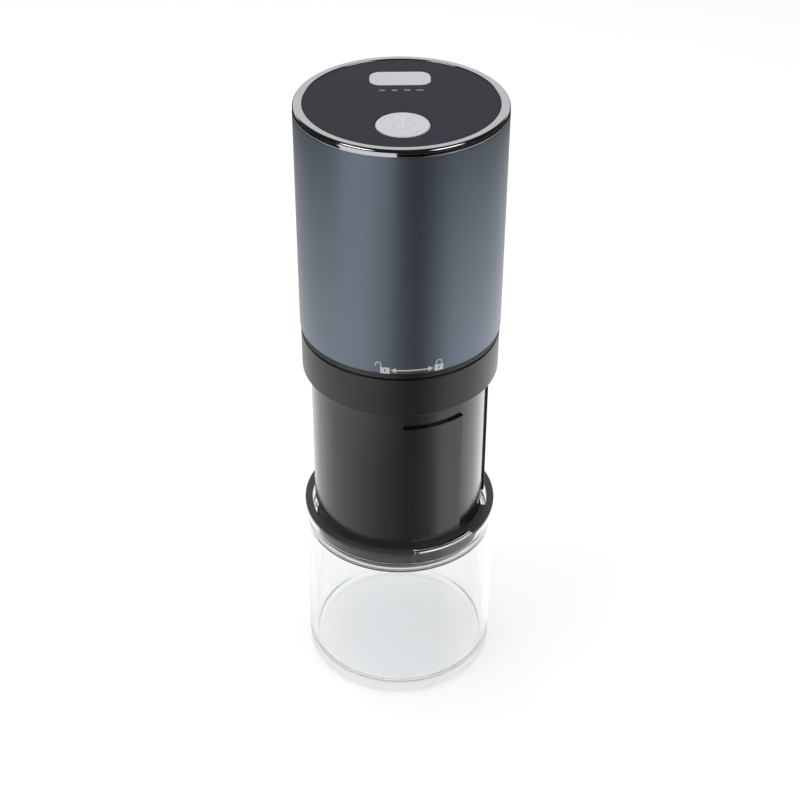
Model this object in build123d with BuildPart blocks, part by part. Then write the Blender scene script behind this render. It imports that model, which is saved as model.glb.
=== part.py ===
from build123d import *
import math
import os

# An electric coffee grinder in millimetres, standing on its clear cup. The origin is the centre of
# the cup's foot, +Z is up, and the power button is at the front, on the -Y side. Angles of features
# round the body are counted from the front towards the right, +X, and seen from above they grow
# anticlockwise.

# Clearances, how far a cut runs past the face that it opens, and how far a joined feature reaches
# into the piece that it grows from
seat_fit = 0.05
running_fit = 0.05
moving_gap = 0.3
rest_gap = 0.1
overcut = 1.0
root_overlap = 0.5

# Clear cup
cup_gap = 1.0
cup_wall = 2.3
cup_floor = 3.0
cup_rim_height = 64.5
cup_foot_round = 3.0
cup_inside_round = 4.0
tab_start = 7.4
tab_end = 47.4
tab_height = 4.2

# Black ring on the cup's rim
ring_thickness = 1.0
ring_overhang = 0.15
ring_round = 0.4
notch_play = 0.4
lug_start = 52.5
lug_end = 76.5
lug_height = 2.6
lug_drop = 0.3

# Telescoping between tube and cup
store_clearance = 1.75
cup_twist = 48.0
slot_end_play = 4.1

# Wiper ring
wiper_height = 2.4
wiper_inset = 4.9
wiper_lift = 0.2
wiper_grip = 0.7
key_start = 78.0
key_end = 85.0
key_play = 1.7

# Hopper tube
tube_wall = 3.0
recess_depth = 1.0
foot_flange_height = 1.5
foot_flange_depth = 0.4
neck_clearance = 2.2
channel_lead = 9.8
slot_clearance = 0.45
slot_to_collar = 3.2
tube_edge_round = 0.6
ledge_height = 3.0
ledge_width = 5.0

# Collar at the top of the tube
collar_wall = 2.4
collar_height = 14.2
collar_grip = 4.9
collar_round = 0.8
socket_step = 0.3
bayonet_ledge_width = 1.3
bayonet_ledge_drop = 1.3
bayonet_ledge_height = 2.5
bayonet_lug_angle = 24.0
bayonet_play = 3.0
bayonet_lug_height = 2.2
bayonet_count = 3
bayonet_stop_angle = 4.0
housing_twist = 31.0
gasket_width = 0.8
gasket_depth = 1.2
gasket_inset = 0.9
gasket_rise = 0.45

# Grinding works
works_fit = 0.2
spider_height = 4.0
spider_hub_radius = 7.0
spider_hub_height = 12.0
spoke_width = 3.2
bush_wall = 2.0
bush_flange_width = 1.0
bush_flange_height = 1.2
shaft_radius = 3.0
shaft_flange_radius = 5.6
shaft_flange_height = 1.7
outer_burr_radius = 19.0
outer_burr_height = 13.0
outer_burr_throat = 14.8
outer_burr_mouth = 17.2
outer_burr_straight = 5.2
outer_slot_length = 2.2
outer_slot_width = 0.84
outer_slot_offset = 0.3
outer_slot_count = 24
holder_foot = 5.0
holder_throat = 15.5
throat_lip = 1.0
burr_gap = 1.3
burr_drop = 0.15
inner_burr_top_radius = 6.2
inner_burr_middle_radius = 11.5
inner_burr_height = 13.2
inner_burr_shoulder = 7.7
inner_burr_foot = 1.0
groove_count = 12
groove_width = 1.2
groove_length = 8.5
groove_inset = 1.0
spring_wire = 0.8
spring_turns = 3.5
dial_radius = 11.5
dial_height = 3.6
scallop_count = 12
scallop_radius = 1.4
scallop_offset = 0.42
screw_radius = 1.2
screw_head_radius = 2.2
screw_head_height = 1.8
hex_share = 0.5

# Drive coupling
blade_length = 12.0
blade_width = 3.2
blade_height = 3.1
coupler_radius = 9.0
coupler_disc = 2.5
jaw_inner_radius = 4.2
jaw_angle = 50.0
jaw_lead = 26.0

# Motor housing
seam = 0.6
band_inset = 0.3
band_height = 1.9
plate_thickness = 4.0
plate_rim_height = 1.9
plate_rim_wall = 2.0
plate_boss_wall = 0.6
pocket_gap = 0.2
spigot_wall = 1.5
spigot_depth = 7.4
sleeve_wall = 1.8
sleeve_round = 0.3
trim_inset = 0.05
trim_height = 2.1
trim_lip = 2.85
trim_ledge = 1.6
trim_spigot = 3.0
trim_round = 1.2
trim_inner_round = 0.4
panel_thickness = 1.6
panel_drop = 0.2

# Button, switch and battery window in the top panel
button_radius = 7.9
button_distance = 15.2
button_clearance = 0.2
button_rise = 0.2
button_cap = 2.8
button_flange = 1.5
button_flange_height = 1.0
button_stem_radius = 2.4
button_stem = 2.6
button_travel = 1.0
button_round = 0.5
window_length = 18.5
window_width = 9.5
window_round = 3.4
window_distance = 15.7
window_flange = 1.0
window_depth = 3.2
plunger_radius = 1.6
plunger_gap = 0.15
switch_width = 6.2
switch_height = 3.6

# Gear train, two equal planetary stages
gear_module = 0.5
sun_teeth = 12
planet_teeth = 18
ring_teeth = 48
planet_count = 3
pressure_angle = math.radians(20)
tooth_addendum = 0.8
tooth_dedendum = 1.1
flank_play = 0.06
gear_width = 5.0
gear_side_gap = 0.3
pin_radius = 1.0
pin_end_gap = 0.3
carrier_thickness = 2.2
carrier_rim = 2.1
gearbox_wall = 1.45
gearbox_cover_thickness = 2.5
gearbox_headroom = 1.7

# Motor
motor_radius = 13.9
motor_length = 36.0
can_wall = 1.1
motor_shaft_radius = 1.5
motor_bush_radius = 3.8
motor_bush_length = 3.0
air_gap = 0.75
armature_start = 7.6
armature_gap = 1.5
armature_slot_depth = 4.23
armature_slot_width = 1.6
armature_slot_count = 3
commutator_radius = 3.4
commutator_length = 4.5
commutator_gap = 1.3
magnet_thickness = 2.6
magnet_overhang = 2.0
magnet_angle = 140.0
end_cap_thickness = 3.0
brush_width = 3.0
brush_length = 4.3

# Battery, chassis and circuit board
cell_radius = 7.0
cell_length = 49.0
cell_nub_radius = 2.75
cell_nub_height = 1.0
cell_count = 3
cell_start_angle = 90.0
cell_clearance = 0.25
cell_to_core = 0.4
chassis_wall = 1.15
chassis_clearance = 0.4
chassis_web = 2.2
contact_inset = 2.0
contact_thickness = 0.5
lightening_radius = 4.0
lightening_angle = 20.0
board_frame_thickness = 1.6
pillar_radius = 2.6
pillar_least = 2.0
board_clearance = 0.6
board_headroom = 9.0
board_inset = 1.3
board_thickness = 1.6
plate_screw_radius = 1.5
plate_screw_head_radius = 2.8
plate_screw_head_height = 2.0
plate_screw_length = 14.0
plate_screw_inset = 7.8
gearbox_screw_radius = 1.0
gearbox_screw_head_radius = 1.9
gearbox_screw_head_height = 1.3
gearbox_screw_inset = 3.5
gearbox_screw_count = 4
board_screw_radius = 1.0
board_screw_head_radius = 2.0
board_screw_head_height = 1.2
board_screw_length = 3.0
board_screw_inset = 4.5
board_screw_gap = 0.15
socket_width = 9.0
socket_height = 3.3
socket_length = 7.4
socket_shell = 0.35
socket_cavity = 6.4
socket_recess = 0.8
tongue_width = 6.7
tongue_thickness = 0.7
tongue_length = 4.9
port_margin = 0.5
led_width = 1.6
led_depth = 0.8
led_height = 0.7
led_spacing = 3.6
led_count = 4

# Gears
sun_radius = gear_module * sun_teeth / 2
planet_radius = gear_module * planet_teeth / 2
gear_ring_radius = gear_module * ring_teeth / 2
pin_circle = sun_radius + planet_radius
addendum = gear_module * tooth_addendum
dedendum = gear_module * tooth_dedendum
carrier_radius = pin_circle + pin_radius + carrier_rim
gearbox_radius = gear_ring_radius + dedendum + gearbox_wall
planet_angles = [360 / planet_count * index for index in range(planet_count)]

# Radii from the geared motor and the battery cells outwards, then down to the tube and the cup
core_radius = max(motor_radius, gearbox_radius)
core_bore = core_radius + moving_gap
cell_circle = core_radius + cell_to_core + cell_radius
chassis_radius = cell_circle + cell_radius + cell_clearance + chassis_wall
board_radius = chassis_radius - board_inset
sleeve_bore = chassis_radius + chassis_clearance
sleeve_radius = sleeve_bore + sleeve_wall
socket_mouth = sleeve_radius - socket_recess
plate_rim_radius = sleeve_bore - rest_gap
trim_radius = sleeve_radius - trim_inset
trim_bore = trim_radius - trim_lip
band_radius = sleeve_radius - band_inset
collar_radius = band_radius
socket_radius = collar_radius - collar_wall
bayonet_ledge_radius = socket_radius - bayonet_ledge_width
bayonet_lug_radius = socket_radius - moving_gap
spigot_radius = bayonet_ledge_radius - moving_gap
spigot_bore = spigot_radius - spigot_wall
gasket_groove_outer = collar_radius - gasket_inset + rest_gap
gasket_groove_inner = gasket_groove_outer - gasket_width - 2 * rest_gap
tube_radius = socket_radius - socket_step
tube_bore = tube_radius - tube_wall
recess_radius = tube_radius - recess_depth
lug_radius = recess_radius + moving_gap
foot_flange_radius = tube_radius - foot_flange_depth
cup_bore = tube_radius + cup_gap
cup_radius = cup_bore + cup_wall
ring_radius = cup_radius + ring_overhang
wiper_inner_radius = tube_radius + moving_gap + seat_fit
wiper_outer_radius = cup_bore + wiper_grip
wiper_groove_radius = wiper_outer_radius + moving_gap
works_radius = tube_bore - works_fit
ledge_radius = tube_bore - ledge_width
bush_radius = shaft_radius + bush_wall
inner_burr_radius = outer_burr_mouth - burr_gap

# Places of the screws and the cells round the axis
cell_angles = [cell_start_angle + 360 / cell_count * index for index in range(cell_count)]
web_angles = [angle + 180 / cell_count for angle in cell_angles]
half_turn = 180 / gearbox_screw_count
gearbox_screw_angles = [half_turn * (2 * index + 1) for index in range(gearbox_screw_count)]
burr_screw_distance = tube_bore - ledge_width / 2
plate_screw_distance = chassis_radius - plate_screw_inset
gearbox_screw_distance = gearbox_radius - gearbox_screw_inset
board_screw_distance = board_radius - board_screw_inset

# Angles of the tube's channels and slots, and of the bayonet's entries and stops
channel_start = lug_start - channel_lead
channel_end = key_end + key_play
slot_start = lug_start - cup_twist - slot_end_play
bayonet_entry_angle = bayonet_lug_angle + 2 * bayonet_play
bayonet_stop_end = -housing_twist - bayonet_lug_angle / 2 - rest_gap

# Heights from the cup's rim up
ring_top = cup_rim_height + ring_thickness
tab_bottom = ring_top - tab_height
lug_top = ring_top - lug_drop
lug_bottom = lug_top - lug_height
wiper_bottom = cup_rim_height - wiper_inset - wiper_height
tube_bottom = wiper_bottom - wiper_lift
store_travel = tube_bottom - cup_floor - store_clearance
neck_top = lug_top + neck_clearance
slot_bottom = lug_bottom + store_travel - slot_clearance
slot_top = lug_top + store_travel + slot_clearance
collar_bottom = slot_top + slot_to_collar
collar_top = collar_bottom + collar_height
tube_top = collar_bottom + collar_grip

band_bottom = collar_top + seam
sleeve_bottom = band_bottom + band_height
plate_top = band_bottom + plate_thickness
chassis_bottom = plate_top + plate_rim_height
spigot_bottom = band_bottom - spigot_depth
bayonet_ledge_top = collar_top - bayonet_ledge_drop
bayonet_ledge_bottom = bayonet_ledge_top - bayonet_ledge_height
bayonet_lug_top = bayonet_ledge_bottom - moving_gap
bayonet_lug_bottom = bayonet_lug_top - bayonet_lug_height

holder_bottom = tube_bottom + holder_foot
burr_bottom = holder_bottom + rest_gap
burr_top = burr_bottom + outer_burr_height
holder_top = burr_top + holder_foot
spider_bottom = holder_top + ledge_height
hub_top = spider_bottom + spider_hub_height
inner_burr_bottom = burr_bottom - burr_drop
inner_burr_top = inner_burr_bottom + inner_burr_height
shaft_flange_top = spider_bottom - moving_gap
shaft_flange_bottom = shaft_flange_top - shaft_flange_height
dial_top = inner_burr_bottom - rest_gap
dial_bottom = dial_top - dial_height

coupler_top = band_bottom - moving_gap
coupler_bottom = coupler_top - coupler_disc
blade_top = coupler_bottom - moving_gap
blade_bottom = blade_top - blade_height
jaw_bottom = blade_bottom - moving_gap

cover_top = plate_top + gearbox_cover_thickness
stage_height = carrier_thickness + gear_width + 3 * gear_side_gap
carrier_two_bottom = cover_top + gear_side_gap
carrier_one_bottom = carrier_two_bottom + stage_height
gearbox_top = carrier_one_bottom + stage_height + gearbox_headroom
motor_top = gearbox_top + motor_length
commutator_bottom = motor_top - can_wall - commutator_gap - commutator_length
armature_bottom = gearbox_top + armature_start
armature_length = commutator_bottom - armature_gap - armature_bottom

cell_bottom = chassis_bottom + chassis_web + contact_thickness + rest_gap
chassis_top = cell_bottom + cell_length + cell_nub_height + rest_gap + contact_thickness
board_frame_top = chassis_top + board_frame_thickness
board_bottom = max(board_frame_top + pillar_least, motor_top + end_cap_thickness + board_clearance)
board_top = board_bottom + board_thickness
socket_z = board_top + socket_height / 2
sleeve_top = board_top + board_headroom
trim_top = sleeve_top + trim_height
panel_top = trim_top - panel_drop
panel_bottom = panel_top - panel_thickness
button_top = panel_top + button_rise
button_bottom = button_top - button_cap
stem_bottom = button_bottom - button_stem


def at_angle(angle):
    """Give the plane's direction for an angle counted from the front towards the right."""
    return angle - 90


def ring_sector(inner, outer, start, end):
    """Draw the part of a flat ring between two angles, counted from the front."""
    first = at_angle(start)
    sweep = end - start
    with BuildSketch() as sector:
        with BuildLine():
            near = CenterArc((0, 0), inner, first, sweep)
            far = CenterArc((0, 0), outer, first, sweep)
            Line(near @ 0, far @ 0)
            Line(near @ 1, far @ 1)
        make_face()
    return sector.sketch


def gear_outline(teeth, root, tip, play):
    """Draw an involute gear with a tooth on +X, its flanks set back by the play."""
    pitch = gear_module * teeth / 2
    base = pitch * math.cos(pressure_angle)
    half_tooth = math.pi / (2 * teeth) - play / pitch + math.tan(pressure_angle) - pressure_angle

    def flank(radius):
        slope = math.acos(min(1.0, base / radius))
        return half_tooth - (math.tan(slope) - slope)

    start = max(root, base)
    rising = [(root, flank(start)), (start, flank(start)), (pitch, flank(pitch)), (tip, flank(tip))]
    if start - root < rest_gap:
        rising = rising[1:]
    points = []
    for tooth in range(teeth):
        middle = 2 * math.pi * tooth / teeth
        side = [(radius, middle - half) for radius, half in rising]
        side += [(radius, middle + half) for radius, half in reversed(rising)]
        points += [(radius * math.cos(turn), radius * math.sin(turn)) for radius, turn in side]
    with BuildSketch() as outline:
        with BuildLine():
            Polyline(*points, close=True)
        make_face()
    return outline.sketch


def polar_plane(radius, angle, height, turn=0.0):
    """Place a plane on a circle about the axis, its X direction turned by a further angle."""
    around = math.radians(angle)
    spin = math.radians(turn)
    return Plane(
        origin=(radius * math.cos(around), radius * math.sin(around), height),
        x_dir=(math.cos(spin), math.sin(spin), 0),
        z_dir=(0, 0, 1),
    )


def screw_row(distance, angles, head_face, head, head_height, shank, length, direction=1):
    """Make upright socket screws on a circle, each from its head's face in the given direction."""
    with BuildPart() as screws:
        for angle in angles:
            with BuildSketch(polar_plane(distance, angle, head_face)):
                Circle(head)
            extrude(amount=direction * head_height)
            with BuildSketch(polar_plane(distance, angle, head_face)):
                RegularPolygon(head * hex_share, 6)
            extrude(amount=direction * head_height * hex_share, mode=Mode.SUBTRACT)
            with BuildSketch(polar_plane(distance, angle, head_face + direction * head_height)):
                Circle(shank)
            extrude(amount=direction * length)
    return screws


os.makedirs("parts", exist_ok=True)

# Clear cup: one moulding with a thick floor, a flat rim that the black ring is bonded to, a groove
# for the wiper, and a tab that stands just proud of the wall and fills the ring's notch
with BuildPart() as cup_glass:
    with BuildSketch(Plane.XZ) as cup_profile:
        with BuildLine():
            Polyline(
                (0, 0),
                (cup_radius, 0),
                (cup_radius, cup_rim_height),
                (cup_bore, cup_rim_height),
                (cup_bore, cup_floor),
                (0, cup_floor),
                close=True,
            )
        make_face()
        corners = cup_profile.vertices()
        fillet(corners.sort_by_distance((cup_radius, 0))[0], cup_foot_round)
        inside = cup_profile.vertices().sort_by_distance((cup_bore, cup_floor))[0]
        fillet(inside, cup_inside_round)
    revolve(axis=Axis.Z)
    with BuildSketch(Plane.XY.offset(tab_bottom)):
        add(ring_sector(cup_bore, ring_radius, tab_start, tab_end))
    extrude(amount=tab_height)
    with BuildSketch(Plane.XY.offset(wiper_bottom - moving_gap)):
        Circle(wiper_groove_radius)
    extrude(amount=wiper_height + 2 * moving_gap, mode=Mode.SUBTRACT)
cup_glass.part.label = "cup_glass"
export_step(cup_glass.part, "parts/cup_glass.step")

# Black ring: a flat ring on the cup's rim, open at the clear tab, with two guide lugs inside
with BuildPart() as cup_ring:
    with BuildSketch(Plane.XZ) as ring_profile:
        with BuildLine():
            Polyline(
                (cup_bore, cup_rim_height),
                (ring_radius, cup_rim_height),
                (ring_radius, ring_top),
                (cup_bore, ring_top),
                close=True,
            )
        make_face()
        fillet(ring_profile.vertices().sort_by_distance((ring_radius, ring_top))[0], ring_round)
    revolve(axis=Axis.Z)
    with BuildSketch(Plane.XY.offset(cup_rim_height)):
        notch_start = tab_start - notch_play
        notch_end = tab_end + notch_play
        add(ring_sector(cup_bore - overcut, ring_radius + overcut, notch_start, notch_end))
    extrude(amount=ring_thickness, mode=Mode.SUBTRACT)
    for side in (0, 180):
        with BuildSketch(Plane.XY.offset(lug_bottom)):
            add(ring_sector(lug_radius, cup_bore - seat_fit, lug_start + side, lug_end + side))
        extrude(amount=lug_height)
        with BuildSketch(Plane.XY.offset(cup_rim_height)):
            add(ring_sector(lug_radius, cup_bore + root_overlap, lug_start + side, lug_end + side))
        extrude(amount=lug_top - cup_rim_height)
cup_ring.part.label = "cup_ring"
export_step(cup_ring.part, "parts/cup_ring.step")

# Silicone wiper: it sits in the cup's groove, and its two keys fill the tube's channels
with BuildPart() as wiper_ring:
    with BuildSketch(Plane.XY.offset(wiper_bottom)):
        Circle(wiper_outer_radius)
        Circle(wiper_inner_radius, mode=Mode.SUBTRACT)
        for side in (0, 180):
            key_root = wiper_inner_radius + root_overlap
            add(ring_sector(lug_radius, key_root, key_start + side, key_end + side))
    extrude(amount=wiper_height)
wiper_ring.part.label = "wiper_ring"
export_step(wiper_ring.part, "parts/wiper_ring.step")

# Hopper tube: a black tube with a foot flange, a neck for the lugs, and two L-shaped channels, each
# an upright recess with a level slot at its top
with BuildPart() as hopper_tube:
    with BuildSketch(Plane.XZ) as tube_profile:
        with BuildLine():
            Polyline(
                (tube_bore, tube_bottom),
                (foot_flange_radius, tube_bottom),
                (foot_flange_radius, tube_bottom + foot_flange_height),
                (recess_radius, tube_bottom + foot_flange_height),
                (recess_radius, neck_top),
                (tube_radius, neck_top),
                (tube_radius, tube_top),
                (tube_bore, tube_top),
                (tube_bore, spider_bottom),
                (ledge_radius, spider_bottom),
                (ledge_radius, holder_top),
                (tube_bore, holder_top),
                close=True,
            )
        make_face()
        edge = tube_profile.vertices().sort_by_distance((tube_radius, neck_top))[0]
        fillet(edge, tube_edge_round)
    revolve(axis=Axis.Z)
    cut_radius = tube_radius + overcut
    for side in (0, 180):
        with BuildSketch(Plane.XY.offset(tube_bottom)):
            add(ring_sector(recess_radius, cut_radius, channel_start + side, channel_end + side))
        extrude(amount=collar_bottom - tube_bottom, mode=Mode.SUBTRACT)
        with BuildSketch(Plane.XY.offset(slot_bottom)):
            slot_end = channel_start + overcut
            add(ring_sector(recess_radius, cut_radius, slot_start + side, slot_end + side))
        extrude(amount=slot_top - slot_bottom, mode=Mode.SUBTRACT)
    for angle in web_angles:
        with BuildSketch(polar_plane(burr_screw_distance, angle, holder_top)):
            Circle(screw_radius + seat_fit)
        extrude(amount=ledge_height, mode=Mode.SUBTRACT)
hopper_tube.part.label = "hopper_tube"
export_step(hopper_tube.part, "parts/hopper_tube.step")

# Collar: the satin ring at the top of the tube, with a bayonet ledge inside, a stop at the locked end
# of each entry, and a gasket groove
with BuildPart() as tube_collar:
    with BuildSketch(Plane.XZ) as collar_profile:
        with BuildLine():
            Polyline(
                (tube_radius + seat_fit, collar_bottom),
                (collar_radius, collar_bottom),
                (collar_radius, collar_top),
                (gasket_groove_outer, collar_top),
                (gasket_groove_outer, collar_top - gasket_depth),
                (gasket_groove_inner, collar_top - gasket_depth),
                (gasket_groove_inner, collar_top),
                (socket_radius, collar_top),
                (socket_radius, bayonet_ledge_top),
                (bayonet_ledge_radius, bayonet_ledge_top),
                (bayonet_ledge_radius, bayonet_ledge_bottom),
                (socket_radius, bayonet_ledge_bottom),
                (socket_radius, tube_top),
                (tube_radius + seat_fit, tube_top),
                close=True,
            )
        make_face()
        lower = collar_profile.vertices().sort_by_distance((collar_radius, collar_bottom))[0]
        fillet(lower, collar_round)
        upper = collar_profile.vertices().sort_by_distance((collar_radius, collar_top))[0]
        fillet(upper, (collar_radius - gasket_groove_outer) / 2)
    revolve(axis=Axis.Z)
    cut_radius = bayonet_ledge_radius - overcut
    stop_radius = bayonet_ledge_radius + rest_gap
    stop_root = socket_radius + root_overlap
    for index in range(bayonet_count):
        middle = 360 / bayonet_count * index
        half = bayonet_entry_angle / 2
        with BuildSketch(Plane.XY.offset(bayonet_ledge_bottom - root_overlap)):
            add(ring_sector(cut_radius, socket_radius, middle - half, middle + half))
        extrude(amount=bayonet_ledge_height + 2 * root_overlap, mode=Mode.SUBTRACT)
        stop_end = middle + bayonet_stop_end
        with BuildSketch(Plane.XY.offset(bayonet_lug_bottom)):
            add(ring_sector(stop_radius, stop_root, stop_end - bayonet_stop_angle, stop_end))
        extrude(amount=bayonet_ledge_bottom + root_overlap - bayonet_lug_bottom)
tube_collar.part.label = "tube_collar"
export_step(tube_collar.part, "parts/tube_collar.step")

# Silicone gasket between the collar and the motor housing
with BuildPart() as collar_gasket:
    with BuildSketch(Plane.XY.offset(collar_top - gasket_depth + running_fit)):
        Circle(gasket_groove_outer - rest_gap)
        Circle(gasket_groove_inner + rest_gap, mode=Mode.SUBTRACT)
    extrude(amount=gasket_depth + gasket_rise - running_fit)
collar_gasket.part.label = "collar_gasket"
export_step(collar_gasket.part, "parts/collar_gasket.step")

# Bearing spider: a ring on the tube's ledge, with three spokes that carry the shaft's hub
with BuildPart() as bearing_spider:
    with BuildSketch(Plane.XY.offset(spider_bottom)):
        Circle(works_radius)
        Circle(ledge_radius + works_fit, mode=Mode.SUBTRACT)
        for angle in cell_angles:
            around = math.radians(angle)
            middle = (spider_hub_radius + ledge_radius) / 2
            with Locations(Location((middle * math.cos(around), middle * math.sin(around)), angle)):
                Rectangle(ledge_radius - spider_hub_radius + 2 * root_overlap, spoke_width)
    extrude(amount=spider_height)
    with BuildSketch(Plane.XY.offset(spider_bottom)):
        Circle(spider_hub_radius)
    extrude(amount=spider_hub_height)
    with BuildSketch(Plane.XY.offset(spider_bottom)):
        Circle(bush_radius + seat_fit)
    extrude(amount=spider_hub_height, mode=Mode.SUBTRACT)
bearing_spider.part.label = "bearing_spider"
export_step(bearing_spider.part, "parts/bearing_spider.step")

# Bronze bush in the spider's hub, with a flange on top
with BuildPart() as shaft_bush:
    with BuildSketch(Plane.XY.offset(spider_bottom)):
        Circle(bush_radius)
    extrude(amount=spider_hub_height)
    with BuildSketch(Plane.XY.offset(hub_top)):
        Circle(bush_radius + bush_flange_width)
    extrude(amount=bush_flange_height)
    with BuildSketch(Plane.XY.offset(spider_bottom)):
        Circle(shaft_radius + running_fit)
    extrude(amount=spider_hub_height + bush_flange_height, mode=Mode.SUBTRACT)
shaft_bush.part.label = "shaft_bush"
export_step(shaft_bush.part, "parts/shaft_bush.step")

# Burr holder: a black ring under the tube's ledge, with a funnel that feeds the burrs
with BuildPart() as burr_holder:
    with BuildSketch(Plane.XZ):
        with BuildLine():
            Polyline(
                (outer_burr_radius + seat_fit, holder_bottom),
                (works_radius, holder_bottom),
                (works_radius, holder_top),
                (ledge_radius, holder_top),
                (holder_throat, burr_top + throat_lip),
                (holder_throat, burr_top + seat_fit),
                (outer_burr_radius + seat_fit, burr_top + seat_fit),
                close=True,
            )
        make_face()
    revolve(axis=Axis.Z)
    for angle in web_angles:
        with BuildSketch(polar_plane(burr_screw_distance, angle, holder_bottom)):
            Circle(screw_radius + seat_fit)
        extrude(amount=holder_top - holder_bottom, mode=Mode.SUBTRACT)
burr_holder.part.label = "burr_holder"
export_step(burr_holder.part, "parts/burr_holder.step")

# Outer burr: a steel ring, its toothed bore wider at the mouth
with BuildPart() as outer_burr:
    with BuildSketch(Plane.XZ):
        with BuildLine():
            Polyline(
                (outer_burr_mouth, burr_bottom),
                (outer_burr_radius, burr_bottom),
                (outer_burr_radius, burr_top),
                (outer_burr_throat, burr_top),
                (outer_burr_throat, burr_top - outer_burr_straight),
                close=True,
            )
        make_face()
    revolve(axis=Axis.Z)
    with BuildSketch(Plane.XY.offset(burr_bottom)):
        with PolarLocations(outer_burr_throat + outer_slot_offset, outer_slot_count):
            Rectangle(outer_slot_length, outer_slot_width)
    extrude(amount=outer_burr_height, mode=Mode.SUBTRACT)
outer_burr.part.label = "outer_burr"
export_step(outer_burr.part, "parts/outer_burr.step")

# Screws that hold the burr holder to the tube's ledge, from below
burr_screws = screw_row(
    burr_screw_distance,
    web_angles,
    holder_bottom - screw_head_height,
    screw_head_radius,
    screw_head_height,
    screw_radius,
    holder_top - holder_bottom + ledge_height / 2,
)
burr_screws.part.label = "burr_screws"
export_step(burr_screws.part, "parts/burr_screws.step")

# Grinder shaft: it carries the inner burr below, and ends in a flat driving blade at the top
with BuildPart() as grinder_shaft:
    with BuildSketch(Plane.XY.offset(tube_bottom)):
        Circle(shaft_radius)
    extrude(amount=blade_top - tube_bottom)
    with BuildSketch(Plane.XY.offset(shaft_flange_bottom)):
        Circle(shaft_flange_radius)
    extrude(amount=shaft_flange_height)
    with BuildSketch(Plane.XY.offset(blade_bottom)):
        Rectangle(blade_length, blade_width)
    extrude(amount=blade_height)
grinder_shaft.part.label = "grinder_shaft"
export_step(grinder_shaft.part, "parts/grinder_shaft.step")

# Burr spring: it presses the inner burr down onto the grind dial
spring_radius = (shaft_radius + inner_burr_top_radius) / 2
spring_bottom = inner_burr_top + rest_gap + spring_wire / 2
spring_top = shaft_flange_bottom - rest_gap - spring_wire / 2
spring_pitch = (spring_top - spring_bottom) / spring_turns
with BuildPart() as burr_spring:
    with BuildLine(Plane.XY.offset(spring_bottom)) as spring_line:
        Helix(spring_pitch, spring_top - spring_bottom, spring_radius)
    with BuildSketch(spring_line.line ^ 0):
        Circle(spring_wire / 2)
    sweep(is_frenet=True)
burr_spring.part.label = "burr_spring"
export_step(burr_spring.part, "parts/burr_spring.step")
print("spring gap between turns", round(spring_pitch - spring_wire, 2))

# Inner burr: a steel cone with slanted cutting grooves
with BuildPart() as inner_burr:
    with BuildSketch(Plane.XZ):
        with BuildLine():
            Polyline(
                (shaft_radius + running_fit, inner_burr_bottom),
                (inner_burr_radius, inner_burr_bottom),
                (inner_burr_radius, inner_burr_bottom + inner_burr_foot),
                (inner_burr_middle_radius, inner_burr_bottom + inner_burr_shoulder),
                (inner_burr_top_radius, inner_burr_top),
                (shaft_radius + running_fit, inner_burr_top),
                close=True,
            )
        make_face()
    revolve(axis=Axis.Z)
    with BuildSketch(Plane.XY.offset(inner_burr_bottom + inner_burr_foot)):
        with PolarLocations(inner_burr_radius - groove_inset, groove_count):
            Rectangle(groove_length, groove_width)
    extrude(amount=inner_burr_height, mode=Mode.SUBTRACT)
inner_burr.part.label = "inner_burr"
export_step(inner_burr.part, "parts/inner_burr.step")

# Grind dial: a scalloped nut on the shaft's lower end
with BuildPart() as grind_dial:
    with BuildSketch(Plane.XY.offset(dial_bottom)):
        Circle(dial_radius)
        with PolarLocations(dial_radius + scallop_offset, scallop_count):
            Circle(scallop_radius, mode=Mode.SUBTRACT)
        Circle(shaft_radius + running_fit, mode=Mode.SUBTRACT)
    extrude(amount=dial_height)
grind_dial.part.label = "grind_dial"
export_step(grind_dial.part, "parts/grind_dial.step")

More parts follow.
